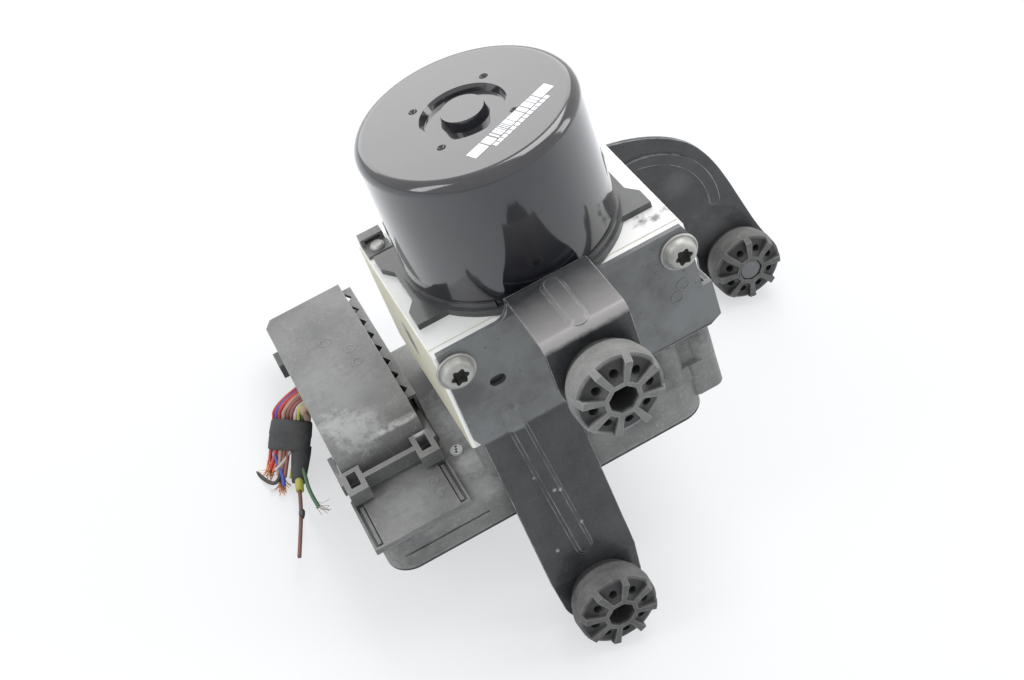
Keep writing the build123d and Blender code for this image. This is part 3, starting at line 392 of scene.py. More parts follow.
grey_plastic = finish_material("dusty grey plastic", (0.135, 0.135, 0.132), 0.5, variation=0.25,
                               edge=((0.40, 0.40, 0.38), 0.0008, 0.5), dusty=(pale_dust, 0.42, 38.0, 0.55),
                               scratched=((0.42, 0.42, 0.41), 0.5, 1.2), bump=(1500.0, 0.16))
zinc_steel = finish_material("zinc plated steel", (0.50, 0.50, 0.48), 0.42, metallic=0.6, variation=0.35,
                             edge=((0.70, 0.70, 0.68), 0.0004, 0.6),
                             dusty=((0.22, 0.21, 0.18), 0.35, 240.0, 0.1), bump=(900.0, 0.3))
# The bolts' socket walls and floor: near black, much darker than the head.
dark_socket = finish_material("dark socket", (0.035, 0.034, 0.032), 0.7,
                               dusty=((0.16, 0.15, 0.14), 0.3, 400.0, 0.1))
dull_pin = finish_material("dull pin", (0.17, 0.175, 0.18), 0.5, variation=0.3,
                           edge=((0.34, 0.34, 0.34), 0.0006, 0.6), bump=(900.0, 0.2))
ground_steel = finish_material("ground steel", (0.62, 0.62, 0.63), 0.28, metallic=0.9, variation=0.15)
lamination = finish_material("laminations", (0.25, 0.25, 0.26), 0.45, metallic=0.7)
ferrite = finish_material("ferrite", (0.05, 0.05, 0.055), 0.6)
copper = finish_material("copper", (0.72, 0.30, 0.14), 0.3, metallic=0.9, variation=0.45)
carbon = finish_material("carbon", (0.03, 0.03, 0.03), 0.5)
inner_plastic = finish_material("inner plastic", (0.05, 0.12, 0.06), 0.5)
white_membrane = finish_material("white membrane", (0.84, 0.84, 0.82), 0.5, variation=0.06,
                                 dusty=(brown_dust, 0.10, 300.0, 0.2))
cloth_tape = finish_material("cloth tape", (0.026, 0.026, 0.027), 0.7, edge=((0.13, 0.13, 0.13), 0.0006, 0.6),
                             dusty=((0.14, 0.14, 0.14), 0.25, 120.0, 0.4), bump=(2600.0, 0.6))
bare_copper = finish_material("bare copper", (0.80, 0.40, 0.20), 0.32, metallic=0.7, variation=0.4,
                              bump=(2000.0, 0.1))


def finish_bracket():
    """The sheet: dusty front plate, a painted highlight on the shelf growing towards its fold, bright nicks
    on the leg.
    """
    plate = band_mask(black_sheet, (0.0, 0.0, 1.0), plate_bottom + 0.6 * MM, shelf_bottom, 0.9 * MM)
    front = band_mask(black_sheet, (0.0, 1.0, 0.0), plate_front - 3.0 * MM, plate_front + 3.0 * MM, 1.0 * MM)
    dusty_plate = math_node(black_sheet.node_tree, "MULTIPLY", plate, front)
    film = patchy(black_sheet, dusty_plate, scale=38.0, low=0.16, high=0.55)
    tint_where(black_sheet, film, (0.165, 0.172, 0.172), roughness=0.55)
    specks = patchy(black_sheet, dusty_plate, scale=420.0, low=0.62, high=0.75)
    tint_where(black_sheet, specks, (0.05, 0.05, 0.05))
    # Painted highlight: a paler, glossier tint over the shelf above its lower edge, growing towards the fold.
    above = band_mask(black_sheet, (0.0, 0.0, 1.0), shelf_edge, 1.0, 1.5 * MM)
    toward_fold = band_mask(black_sheet, (0.0, -1.0, 0.0), 46.0 * MM, 1.0, 30.0 * MM, 0.12)
    painted_sheen = math_node(black_sheet.node_tree, "MULTIPLY", above, toward_fold)
    tint_where(black_sheet, painted_sheen, (0.33, 0.315, 0.31), roughness=0.36)
    lay_blotches(black_sheet, (
        ((-24.5, -52.0, -119.0), 13.0, 0.012), ((100.0, 74.3, -105.0), 15.0, 0.12),
        ((90.0, 74.3, -74.0), 9.0, 0.07), ((-41.0, -42.0, -20.0), 7.0, 0.07)), ragged=0.5, sharp=1.2)
    bare_metal = (0.40, 0.41, 0.41)
    lay_blotches(black_sheet, (
        ((-25.2, -50.0, -75.0), 1.0, bare_metal), ((-26.2, -49.8, -74.6), 0.8, bare_metal),
        ((-28.2, -49.4, -73.6), 0.9, bare_metal), ((-33.0, -47.0, -66.0), 0.8, bare_metal),
        ((-24.0, -52.5, -92.0), 0.9, bare_metal),
        ((-36.5, -54.0, -98.0), 1.0, bare_metal)), ragged=0.8, sharp=1.0)


def finish_block():
    """The block: yellowish down its left wall, painted shade on its face behind the plate's hole, grey
    corrosion beside the right ear.
    """
    left_wall = band_mask(pale_aluminium, (1.0, 0.0, 0.0), block_left - 2 * MM, block_left + 0.5 * MM,
                          0.4 * MM)
    tint_where(pale_aluminium, left_wall, (0.57, 0.55, 0.43))
    # Painted shade: a near-black spot on the block's face behind the hole in the plate.
    painted_well_shade = blotch_mask(pale_aluminium, block_hole, 6.0 * MM, 0.1, 6.0)
    tint_where(pale_aluminium, painted_well_shade, (0.03, 0.03, 0.03))
    corroded = (0.26, 0.26, 0.25)
    lay_blotches(pale_aluminium, (
        ((43.9, -29.5, 0.0), 3.2, corroded), ((39.5, -27.5, 0.0), 3.4, corroded),
        ((48.5, -27.5, 0.0), 2.4, corroded), ((46.5, 24.5, 0.0), 2.6, corroded)), ragged=1.5, sharp=1.0)


def finish_housing():
    """The control unit: a dark joint line over its cover widened into painted shade, dark patches on its
    sides with painted shade under the plate, and pale patches on its top that are partly dust and partly
    painted light.
    """
    # Pale patches on the top are partly dust and partly painted light, lifting the shade cast by the block
    # and the connector. The dark patch at the plate's lower right edge is painted shade in the recess under
    # the plate.
    lay_blotches(grey_plastic, (
        ((-47.5, 2.0, -65.0), 22.0, 0.50), ((-50.0, -24.0, -65.0), 10.0, 0.44),
        ((-50.0, -38.0, -65.0), 7.0, 0.34), ((-82.5, -48.0, -75.0), 14.0, 0.10),
        ((43.0, -45.0, -42.5), 16.0, 0.085), ((12.0, -45.0, -70.0), 9.0, 0.10)), ragged=0.9, sharp=1.0)
    # A dark joint line, widened into painted shade over the gap between the housing and its cover.
    seam_and_shade = band_mask(grey_plastic, (0.0, 0.0, 1.0), joint_line - 0.7 * MM, joint_line + 1.9 * MM, 0.5 * MM)
    tint_where(grey_plastic, seam_and_shade, (0.02, 0.02, 0.02))


def finish_plug():
    """The connector's shell: a chalky worn front edge, with paler and darker patches round it."""
    lay_blotches(black_plastic, (
        ((-78.0, 22.0, shell_top), 18.0, 0.23), ((-86.0, 38.0, shell_top), 14.0, 0.23),
        ((-80.0, 3.0, shell_top), 12.0, 0.36), ((-87.0, 10.0, shell_top), 8.0, 0.34),
        ((-75.0, -30.0, panel_top), 15.0, 0.24), ((-61.0, -8.5, -55.0), 3.0, 0.50)), ragged=1.1, sharp=1.2)
    chalk = band_mask(black_plastic, (0.0, 1.0, 0.0), cover_front - 2.2 * MM, cover_front + 3.6 * MM,
                      2.2 * MM)
    reach = band_mask(black_plastic, (1.0, 0.0, 0.0), -83.0 * MM, -53.0 * MM, 9.0 * MM)
    high = band_mask(black_plastic, (0.0, 0.0, 1.0), -52.0 * MM, 0.0, 1.0 * MM)
    tree = black_plastic.node_tree
    line = math_node(tree, "MULTIPLY", math_node(tree, "MULTIPLY", chalk, reach), high)
    broken_line = patchy(black_plastic, line, scale=300.0, low=0.34, high=0.56)
    tint_where(black_plastic, broken_line, (0.74, 0.74, 0.72))
    lay_blotches(black_plastic, (
        ((-75.0, 66.0, shell_top), 14.0, 0.10), ((-70.0, 14.0, shell_top), 9.0, 0.10),
        ((-68.0, -44.0, panel_top), 7.0, 0.10)), ragged=1.0, sharp=0.5)


def finish_vent():
    """Three dark dots in the white cap."""
    for shift in (-1.3, 0.0, 1.3):
        dot = vent_place + Vector((0.3 * shift, shift, 0.0)) * MM
        mask = blotch_mask(white_membrane, dot, 0.6 * MM, 0.1, 4.0)
        tint_where(white_membrane, mask, (0.03, 0.03, 0.03))


def rubber_finish(name, base, chalky, mount):
    """Rubber, pale with rubbing on its dome and ridges, with painted shade down in its pockets round the
    bore.
    """
    material = finish_material(name, base, 0.6, variation=0.3, edge=((0.36, 0.355, 0.34), 0.0007, 0.75),
                               dusty=((chalky, chalky, chalky * 0.95), 0.42, 110.0, 0.5), bump=(1300.0, 0.22))
    tree = material.node_tree
    place = object_place(tree)
    flat = tree.nodes.new("ShaderNodeVectorMath")
    flat.operation = "MULTIPLY"
    flat.inputs[1].default_value = (1.0, 0.0, 1.0)
    tree.links.new(place, flat.inputs[0])
    away = tree.nodes.new("ShaderNodeVectorMath")
    away.operation = "DISTANCE"
    away.inputs[1].default_value = (mount.x, 0.0, mount.z)
    tree.links.new(flat.outputs["Vector"], away.inputs[0])
    # Painted shade: a near-black tint in the pockets round the bore, behind the front face.
    pocket_edge = 15.0 * MM
    near = spread(tree, away.outputs["Value"], pocket_edge, pocket_edge - 0.8 * MM)
    face = mount.y - isolator_front
    shaded_depth = band_mask(material, (0.0, 1.0, 0.0), face + 0.4 * MM, face + 60 * MM, 1.3 * MM)
    tint_where(material, math_node(tree, "MULTIPLY", near, shaded_depth, True), (0.035, 0.035, 0.036))
    return material


finish_bracket()
finish_block()
finish_housing()
finish_plug()
finish_vent()
# One rubber in three copies. The middle one's paler base and chalk are painted light on its dome, which faces
# up into the light. The lower and right ones are darker, painted shade on faces turned away.
rubber_middle_lit = rubber_finish("rubber middle lit", (0.150, 0.148, 0.144), 0.36,
                              isolator_mounts["isolator_middle"])
rubber_lower_shaded = rubber_finish("rubber lower shaded", (0.060, 0.059, 0.058), 0.27,
                             isolator_mounts["isolator_lower"])
rubber_right_shaded = rubber_finish("rubber right shaded", (0.065, 0.064, 0.062), 0.27,
                             isolator_mounts["isolator_right"])


def insulation(name, colour):
    """A wire's smooth, slightly dusty plastic."""
    return finish_material(name, colour, 0.38, variation=0.3, dusty=(brown_dust, 0.14, 160.0, 0.2),
                           bump=(1200.0, 0.05))


red_insulation = insulation("red insulation", (0.58, 0.03, 0.03))
orange_insulation = insulation("orange insulation", (0.62, 0.16, 0.05))
blue_insulation = insulation("blue insulation", (0.03, 0.07, 0.42))
brown_insulation = insulation("brown insulation", (0.17, 0.055, 0.035))
white_insulation = insulation("white insulation", (0.60, 0.55, 0.50))
green_insulation = insulation("green insulation", (0.05, 0.15, 0.07))
yellow_insulation = insulation("yellow insulation", (0.52, 0.50, 0.06))
pink_insulation = insulation("pink insulation", (0.62, 0.16, 0.17))
tan_insulation = insulation("tan insulation", (0.46, 0.30, 0.22))
red_brown_insulation = insulation("red brown insulation", (0.30, 0.085, 0.07))
black_insulation = insulation("black insulation", (0.016, 0.016, 0.017))

node_finishes = {
    "motor_can": black_lacquer, "motor_flange": grey_flange, "motor_screws": zinc_steel,
    "armature_shaft": ground_steel, "armature_core": lamination,
    "armature_windings": copper, "commutator": copper,
    "front_bearing": ground_steel, "rear_bearing": ground_steel, "eccentric_bearing": ground_steel,
    "brush_plate": inner_plastic, "brushes": carbon, "valve_block": pale_aluminium,
    "pump_piston_left": ground_steel, "pump_piston_right": ground_steel,
    "pump_plug_left": zinc_steel, "pump_plug_right": zinc_steel, "valve_coils": copper,
    "accumulator_piston_1": pale_aluminium, "accumulator_piston_2": pale_aluminium,
    "accumulator_cap_1": pale_aluminium, "accumulator_cap_2": pale_aluminium,
    "earth_tab": black_plastic, "earth_screw": zinc_steel,
    "ecu_housing": grey_plastic, "ecu_cover": grey_plastic,
    "circuit_board": inner_plastic, "header_pins": ground_steel, "ecu_screws": zinc_steel,
    "vent_cap": white_membrane, "plug_housing": black_plastic, "plug_cover": black_plastic,
    "plug_lever": black_plastic, "bracket": black_sheet, "bracket_bolts": zinc_steel,
    "isolator_middle": rubber_middle_lit, "isolator_lower": rubber_lower_shaded, "isolator_right": rubber_right_shaded,
    "isolator_pin": dull_pin,
    "tape_wrap": cloth_tape, "wire_red": red_insulation, "wire_blue": blue_insulation,
    "wire_brown": brown_insulation, "wire_green": green_insulation, "wire_black": black_insulation,
}
for number in range(1, 5):
    node_finishes[f"magnet_{number}"] = ferrite
for number in range(1, 9):
    node_finishes[f"valve_{number}"] = ground_steel
for name, material in node_finishes.items():
    nodes[name].data.materials.clear()
    nodes[name].data.materials.append(material)


# ---------------------------------------------------------------- helpers for pieces
def add_mesh(name, points, faces, material, slot, smooth=True):
    """A piece of the unit from its points and faces."""
    mesh = bpy.data.meshes.new(name)
    mesh.from_pydata([tuple(point) for point in points], [], faces)
    mesh.validate()
    for polygon in mesh.polygons:
        polygon.use_smooth = smooth
    mesh.materials.append(material)
    piece = bpy.data.objects.new(name, mesh)
    bpy.context.scene.collection.objects.link(piece)
    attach(piece, "unit")
    return piece


def rings_mesh(rings):
    """Points and faces of a closed surface through rings of equal count; its two end caps come last."""
    count = len(rings[0])
    points = [point for ring in rings for point in ring]
    faces = []
    for layer in range(len(rings) - 1):
        for step in range(count):
            after = (step + 1) % count
            low, high = layer * count, (layer + 1) * count
            faces.append((low + step, low + after, high + after, high + step))
    start = (len(rings) - 1) * count
    faces.append(tuple(reversed(range(count))))
    faces.append(tuple(range(start, start + count)))
    return points, faces


def circle_points(centre, first, second, radius, count):
    """Points of a circle that starts along the first direction and turns towards the second."""
    turns = (2 * math.pi * step / count for step in range(count))
    return [centre + first * radius * math.cos(a) + second * radius * math.sin(a) for a in turns]


def add_shifted(points, faces, more_points, more_faces):
    """Adds a second surface to the points and faces of the first."""
    shift = len(points)
    points += more_points
    faces += [tuple(index + shift for index in face) for face in more_faces]


# ---------------------------------------------------------------- camera, light and table
def make_camera():
    """The main view, from the front, left and above."""
    data = bpy.data.cameras.new("camera")
    data.sensor_fit = "HORIZONTAL"
    data.sensor_width = 36.0
    data.lens = 55.75
    data.clip_start = 0.01
    data.clip_end = 20.0
    camera = bpy.data.objects.new("camera", data)
    right = Vector((0.87487, -0.38937, -0.28809)).normalized()
    ahead = Vector((0.12105, 0.75168, -0.64832))
    ahead = (ahead - right * ahead.dot(right)).normalized()
    up = right.cross(ahead)
    turn = Matrix((right, up, -ahead)).transposed()
    camera.matrix_world = Matrix.Translation((-0.08555, -0.44490, 0.34001)) @ turn.to_4x4()
    bpy.context.scene.collection.objects.link(camera)
    bpy.context.scene.camera = camera


def table_axes():
    """Two directions along the table and its normal: towards the right and the back of the view."""
    across = Vector((1, 0, 0)) - table_normal * table_normal.x
    across.normalize()
    return across, table_normal.cross(across), table_normal


def make_table():
    """A white table under the module, which is clear from below."""
    across, back, up = table_axes()
    middle = up * table_height
    half = 3.0
    corners = [middle + across * half * x + back * half * y
               for x, y in ((-1, -1), (1, -1), (1, 1), (-1, 1))]
    mesh = bpy.data.meshes.new("table_top")
    mesh.from_pydata(corners, [], [(0, 1, 2, 3)])
    material = bpy.data.materials.new("table white")
    material.use_nodes = True
    tree = material.node_tree
    shader = tree.nodes["Principled BSDF"]
    shader.inputs["Base Color"].default_value = (0.88, 0.885, 0.89, 1)
    shader.inputs["Roughness"].default_value = 0.8
    shader.inputs["Specular IOR Level"].default_value = 0.1
    glow = tree.nodes.new("ShaderNodeEmission")
    glow.inputs["Color"].default_value = (0.93, 0.94, 0.95, 1)
    glow.inputs["Strength"].default_value = 1.0
    path = tree.nodes.new("ShaderNodeLightPath")
    glow_share = 0.6
    seen = math_node(tree, "MULTIPLY", path.outputs["Is Camera Ray"], glow_share)
    lit = tree.nodes.new("ShaderNodeMixShader")
    tree.links.new(seen, lit.inputs["Fac"])
    tree.links.new(shader.outputs[0], lit.inputs[1])
    tree.links.new(glow.outputs[0], lit.inputs[2])
    surface = tree.nodes.new("ShaderNodeNewGeometry")
    clear = tree.nodes.new("ShaderNodeBsdfTransparent")
    sided = tree.nodes.new("ShaderNodeMixShader")
    tree.links.new(surface.outputs["Backfacing"], sided.inputs["Fac"])
    tree.links.new(lit.outputs[0], sided.inputs[1])
    tree.links.new(clear.outputs[0], sided.inputs[2])
    tree.links.new(sided.outputs[0], tree.nodes["Material Output"].inputs["Surface"])
    mesh.materials.append(material)
    table = bpy.data.objects.new("table_top", mesh)
    bpy.context.scene.collection.objects.link(table)


def make_world():
    """A pale room for the light, and plain white where it is seen, mirrored or looked at through glass."""
    world = bpy.data.worlds.new("studio")
    bpy.context.scene.world = world
    world.use_nodes = True
    tree = world.node_tree
    tree.nodes.clear()
    path = tree.nodes.new("ShaderNodeLightPath")
    seen = math_node(tree, "MAXIMUM", path.outputs["Is Camera Ray"], path.outputs["Is Transmission Ray"])
    seen = math_node(tree, "MAXIMUM", seen, path.outputs["Is Glossy Ray"])
    room = tree.nodes.new("ShaderNodeBackground")
    room.inputs["Color"].default_value = (0.93, 0.96, 1.0, 1)
    room.inputs["Strength"].default_value = 0.72
    white = tree.nodes.new("ShaderNodeBackground")
    white.inputs["Color"].default_value = (1, 1, 1, 1)
    white.inputs["Strength"].default_value = 1.0
    both = tree.nodes.new("ShaderNodeMixShader")
    tree.links.new(seen, both.inputs["Fac"])
    tree.links.new(room.outputs[0], both.inputs[1])
    tree.links.new(white.outputs[0], both.inputs[2])
    out = tree.nodes.new("ShaderNodeOutputWorld")
    tree.links.new(both.outputs[0], out.inputs["Surface"])


def make_lamp(name, toward_x, toward_y, toward_up, distance, size, power):
    """A softbox, placed by its direction along the table's axes."""
    across, back, up = table_axes()
    data = bpy.data.lights.new(name, "AREA")
    data.shape = "RECTANGLE"
    data.size, data.size_y = size
    data.energy = power
    lamp = bpy.data.objects.new(name, data)
    way = (across * toward_x + back * toward_y + up * toward_up).normalized()
    lamp.location = way * distance
    lamp.rotation_mode = "QUATERNION"
    lamp.rotation_quaternion = way.to_track_quat("Z", "Y")
    lamp.visible_camera = False
    bpy.context.scene.collection.objects.link(lamp)


make_camera()
make_table()
make_world()
make_lamp("softbox_back", 0.08, 0.95, 0.30, distance=1.4, size=(1.4, 0.6), power=4.8)
make_lamp("softbox_above", 0.25, 0.45, 1.0, distance=1.3, size=(0.9, 0.7), power=9.0)
make_lamp("softbox_left", -1.0, 0.1, 0.55, distance=1.3, size=(0.35, 1.0), power=4.5)
make_lamp("softbox_right", 1.0, -0.2, 0.6, distance=1.4, size=(0.4, 0.9), power=4.0)
bpy.context.scene.view_settings.view_transform = "Standard"

# ---------------------------------------------------------------- harness
wire_d = 1.6 * MM
tape_start = Vector((-100.9, 45.6, -66.0)) * MM
tape_end = Vector((-108.5, 37.9, -74.0)) * MM
tape_axis = (tape_end - tape_start).normalized()
tape_across = tape_axis.cross(Vector((0, 0, 1))).normalized()
tape_up = tape_across.cross(tape_axis).normalized()
outlet_x = -90.7 * MM             # mouth of the outlet in the connector's left side
outlet_height = -57.0 * MM
past_outlet = 4.6 * MM
bend_right, bend_above = 1.6 * MM, 4.6 * MM   # from the tape's start to where a wire turns down


def wire_route(across, above, tail, outlet_across=None):
    """Control points of a wire: out of the connector, down into the tape, through it and along its tail.

    across and above place the wire among the others in the tape, and tail is in millimetres. The five wires
    that the CAD has too run near their tubes, not along the same line.
    """
    shift = tape_across * across * MM + tape_up * above * MM
    enter = tape_start + shift
    leave = tape_end + shift
    outlet_y = tape_start.y - 1.0 * MM + (across if outlet_across is None else outlet_across) * MM
    outlet = Vector((outlet_x, outlet_y, outlet_height))
    clear_of_wall = Vector((outlet_x - past_outlet, outlet_y, outlet_height))
    turning_down = Vector((enter.x + bend_right, (outlet_y + enter.y) / 2, enter.z + bend_above))
    return [outlet, clear_of_wall, turning_down, enter, leave] + [Vector(point) * MM for point in tail]


def smooth_length(points):
    """Length of the smooth line that has these points as its control points."""
    curve = make_curve("measure", points, 0.0, None)
    mesh = bpy.data.meshes.new_from_object(curve)
    places = [vertex.co for vertex in mesh.vertices]
    total = sum((places[a] - places[b]).length for a, b in (edge.vertices for edge in mesh.edges))
    bpy.data.objects.remove(curve)
    bpy.data.meshes.remove(mesh)
    return total


def make_curve(name, points, radius, material):
    """A smooth line by its control points: a round tube with a material, a bare line without one."""
    data = bpy.data.curves.new(name, "CURVE")
    data.dimensions = "3D"
    data.resolution_u = 10
    spline = data.splines.new("NURBS")
    spline.points.add(len(points) - 1)
    for target, point in zip(spline.points, points):
        target.co = (*point, 1.0)
    spline.order_u = 3
    spline.use_endpoint_u = True
    if material:
        data.bevel_depth = radius
        data.bevel_resolution = 4
        data.use_fill_caps = True
        data.materials.append(material)
    curve = bpy.data.objects.new(name, data)
    bpy.context.scene.collection.objects.link(curve)
    return curve


def add_wire(name, points, material, node=None, diameter=wire_d):
    """A wire that leaves the connector and is cut off bare; node is the CAD wire that it stands for."""
    curve = make_curve(name, points, diameter / 2, material)
    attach(curve, "unit")
    if node:
        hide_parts(node)
    smooth_length(points)


def tube_along(name, centres, radii, material, slot, count=20, flat=1.0):
    """A closed sleeve through the centres, with a radius for each; flat squeezes its height."""
    rings = []
    for index, (centre, radius) in enumerate(zip(centres, radii)):
        before = centres[max(index - 1, 0)]
        after = centres[min(index + 1, len(centres) - 1)]
        along = (after - before).normalized()
        across = along.cross(tape_up).normalized()
        above = across.cross(along)
        rings.append(circle_points(centre, across, above * flat, radius, count))
    return add_mesh(name, *rings_mesh(rings), material, slot)


def strand_bundle(name, start, way, reach, strands, thickness, material, slot, seed, spread_out):
    """Short cut strands that fan out from one place."""
    steps, sides = 6, 6
    root_spread = 1.1 * MM
    bending, narrowing = 0.9, 0.25
    chance = random.Random(seed)
    points, faces = [], []
    for _ in range(strands):
        lean = Vector([chance.uniform(-1, 1) for _ in range(3)]) * spread_out
        bend = Vector([chance.uniform(-1, 1) for _ in range(3)]) * spread_out * bending
        root = start + Vector([chance.uniform(-1, 1) for _ in range(3)]) * root_spread
        length = reach * chance.uniform(0.55, 1.0)
        rings = []
        for step in range(steps):
            share = step / (steps - 1)
            centre = root + (way + lean * share + bend * share * share).normalized() * length * share
            side = (way + lean).cross(Vector((0.3, 0.1, 1.0))).normalized()
            above = side.cross(way).normalized()
            radius = thickness / 2 * (1 - narrowing * share)
            rings.append(circle_points(centre, side, above, radius, sides))
        add_shifted(points, faces, *rings_mesh(rings))
    return add_mesh(name, points, faces, material, slot)


def tape_point(along, across, above):
    """A place given in the tape's own directions, in millimetres past its lower end."""
    return tape_end + (tape_axis * along + tape_across * across + tape_up * above) * MM


def make_harness():
    """The cut stub: frayed ends, sleeves and tape first, then the wires that they go with."""
    frayed_left = strand_bundle("frayed_left", tape_point(3.0, 8.0, -0.5), tape_axis, 8.0 * MM, 34,
                                0.5 * MM, bare_copper, "copper", seed=5, spread_out=0.42)
    strand_bundle("frayed_right", tape_point(8.0, 1.8, -0.5), tape_axis, 9.0 * MM, 40,
                  0.5 * MM, bare_copper, "copper", seed=8, spread_out=0.42)
    green_strands = strand_bundle("green_strands", Vector((-106.9, 9.0, -79.4)) * MM,
                                  Vector((0.35, -1.0, 0.05)), 6.0 * MM, 10, 0.35 * MM,
                                  white_insulation, "copper", seed=3, spread_out=0.5)
    joint = tube_along("wire_joint", [Vector(point) * MM for point in (
        (-113.2, 12.6, -80.4), (-113.5, 11.8, -80.5), (-114.0, 10.2, -80.5), (-114.5, 8.9, -80.6))],
        [0.9 * MM, 1.25 * MM, 1.2 * MM, 0.9 * MM], black_insulation, "black_insulation")
    yellow_sleeve = tube_along("yellow_sleeve", [Vector(point) * MM for point in (
        (-108.2, 30.0, -77.8), (-108.9, 27.6, -78.4), (-109.8, 24.6, -78.9), (-110.6, 21.6, -79.3))],
        [1.5 * MM, 1.75 * MM, 1.7 * MM, 1.6 * MM], yellow_insulation, "green_insulation")
    sleeve = tube_along("tape_sleeve", [tape_start - tape_axis * 0.3 * MM] + [
        tape_start.lerp(tape_end, share) for share in (0.03, 0.2, 0.42, 0.44, 0.7, 0.86, 0.89)],
        [8.9 * MM, 9.3 * MM, 9.5 * MM, 9.7 * MM, 9.45 * MM, 9.5 * MM, 9.3 * MM, 8.7 * MM],
        cloth_tape, "cloth_tape", 48, 0.52)
    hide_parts("tape_wrap")
    lower_sleeve = tube_along("lower_sleeve", [tape_point(*place) for place in (
        (-4.0, -5.6, -0.6), (-1.0, -5.7, -0.6), (3.0, -5.9, -0.4), (7.0, -6.3, 0.0),
        (10.5, -6.8, 0.4), (11.0, -6.8, 0.4))],
        [3.9 * MM, 3.9 * MM, 3.6 * MM, 3.2 * MM, 2.7 * MM, 2.2 * MM], cloth_tape, "cloth_tape", 28)
    add_wire("red_wire", wire_route(8.0, 0.6, (tuple(tape_point(5.0, 8.4, -0.6) / MM),), 6.6), red_insulation,
             "wire_red")
    black_tail = ((-116.8, 30.6, -79.0), (-121.4, 36.0, -79.4), (-123.4, 45.5, -78.8))
    add_wire("black_wire", wire_route(3.4, -1.8, black_tail), black_insulation, "wire_black")
    blue_tail = ((-113.6, 33.0, -77.4), (-115.4, 28.5, -79.0))
    add_wire("blue_wire", wire_route(5.9, 1.6, blue_tail, 4.9), blue_insulation, "wire_blue")
    brown_tail = ((-109.3, 26.5, -78.5), (-113.2, 13.5, -80.5), (-117.5, 2.0, -81.0), (-121.5, -9.5, -80.5))
    add_wire("brown_wire", wire_route(-2.6, -1.2, brown_tail), brown_insulation, "wire_brown")
    green_tail = ((-106.0, 26.5, -77.0), (-107.6, 17.0, -78.6), (-106.8, 8.6, -79.5))
    add_wire("green_wire", wire_route(-5.4, 0.6, green_tail, -4.9), green_insulation, "wire_green")
    # across and above in the tape, the cut end past it, and the diameter, in millimetres
    more = (
        ("pink_wire", pink_insulation, 7.0, -1.4, (5.5, 7.4, -1.6), 1.6),
        ("second_red_wire", red_insulation, 4.3, 1.9, (6.5, 6.9, 0.9), 1.6),
        ("orange_wire", orange_insulation, 3.0, 0.9, (7.0, 5.4, 0.6), 1.6),
        ("tan_wire", tan_insulation, 2.0, 2.2, (8.5, 2.9, 0.8), 1.6),
        ("second_brown_wire", red_brown_insulation, 0.4, 1.8, (9.5, 1.3, 0.9), 1.6),
        ("third_brown_wire", red_brown_insulation, -1.4, 2.1, (9.0, -0.6, 1.2), 1.6),
        ("white_wire", white_insulation, -3.2, 1.9, (6.5, 3.8, 1.8), 1.4),
        ("yellow_wire", yellow_insulation, -4.6, 2.0, (9.0, -2.4, -0.4), 1.4),
        ("sheathed_wire", tan_insulation, -6.3, -1.3, (5.0, -5.0, -0.4), 3.0),
    )
    for name, material, across, above, end, diameter in more:
        route = wire_route(across, above, (tuple(tape_point(*end) / MM),))
        add_wire(name, route, material, diameter=diameter * MM)


make_harness()


# ---------------------------------------------------------------- label on the can
label_middle = Vector((10.2, -18.2, 0.0)) * MM
label_turn = math.radians(24.5)
label_length = 40.0 * MM
label_width = 4.6 * MM
label_thickness = 0.12 * MM
bars_reach = 0.36                 # of the label's length, to each side of its middle
bars_half_width = 2.4 * MM
bars_per_metre = 2500.0


def label_paper():
    """White paper with narrow grey bars at random over the middle of its strip."""
    material = bpy.data.materials.new("label paper")
    material.use_nodes = True
    tree = material.node_tree
    shader = tree.nodes["Principled BSDF"]
    place = object_place(tree)
    turned = tree.nodes.new("ShaderNodeVectorRotate")
    turned.rotation_type = "Z_AXIS"
    turned.inputs["Center"].default_value = label_middle
    turned.inputs["Angle"].default_value = -label_turn
    tree.links.new(place, turned.inputs["Vector"])
    split = tree.nodes.new("ShaderNodeSeparateXYZ")
    tree.links.new(turned.outputs["Vector"], split.inputs[0])
    column = math_node(tree, "FLOOR", math_node(tree, "MULTIPLY", split.outputs["X"], bars_per_metre))
    random_bar = tree.nodes.new("ShaderNodeTexWhiteNoise")
    random_bar.noise_dimensions = "1D"
    tree.links.new(column, random_bar.inputs["W"])
    dark = spread(tree, random_bar.outputs["Value"], 0.5, 0.9)
    inside = math_node(tree, "LESS_THAN", math_node(tree, "ABSOLUTE", math_node(
        tree, "SUBTRACT", split.outputs["X"], label_middle.x)), label_length * bars_reach)
    on_strip = math_node(tree, "LESS_THAN", math_node(tree, "ABSOLUTE", math_node(
        tree, "SUBTRACT", split.outputs["Y"], label_middle.y)), bars_half_width)
    bars = math_node(tree, "MULTIPLY", math_node(tree, "MULTIPLY", dark, inside), on_strip, True)
    colour = mix_colour(tree, bars, (0.80, 0.80, 0.81), (0.10, 0.10, 0.11))
    tree.links.new(colour, shader.inputs["Base Color"])
    shader.inputs["Roughness"].default_value = 0.4
    return material


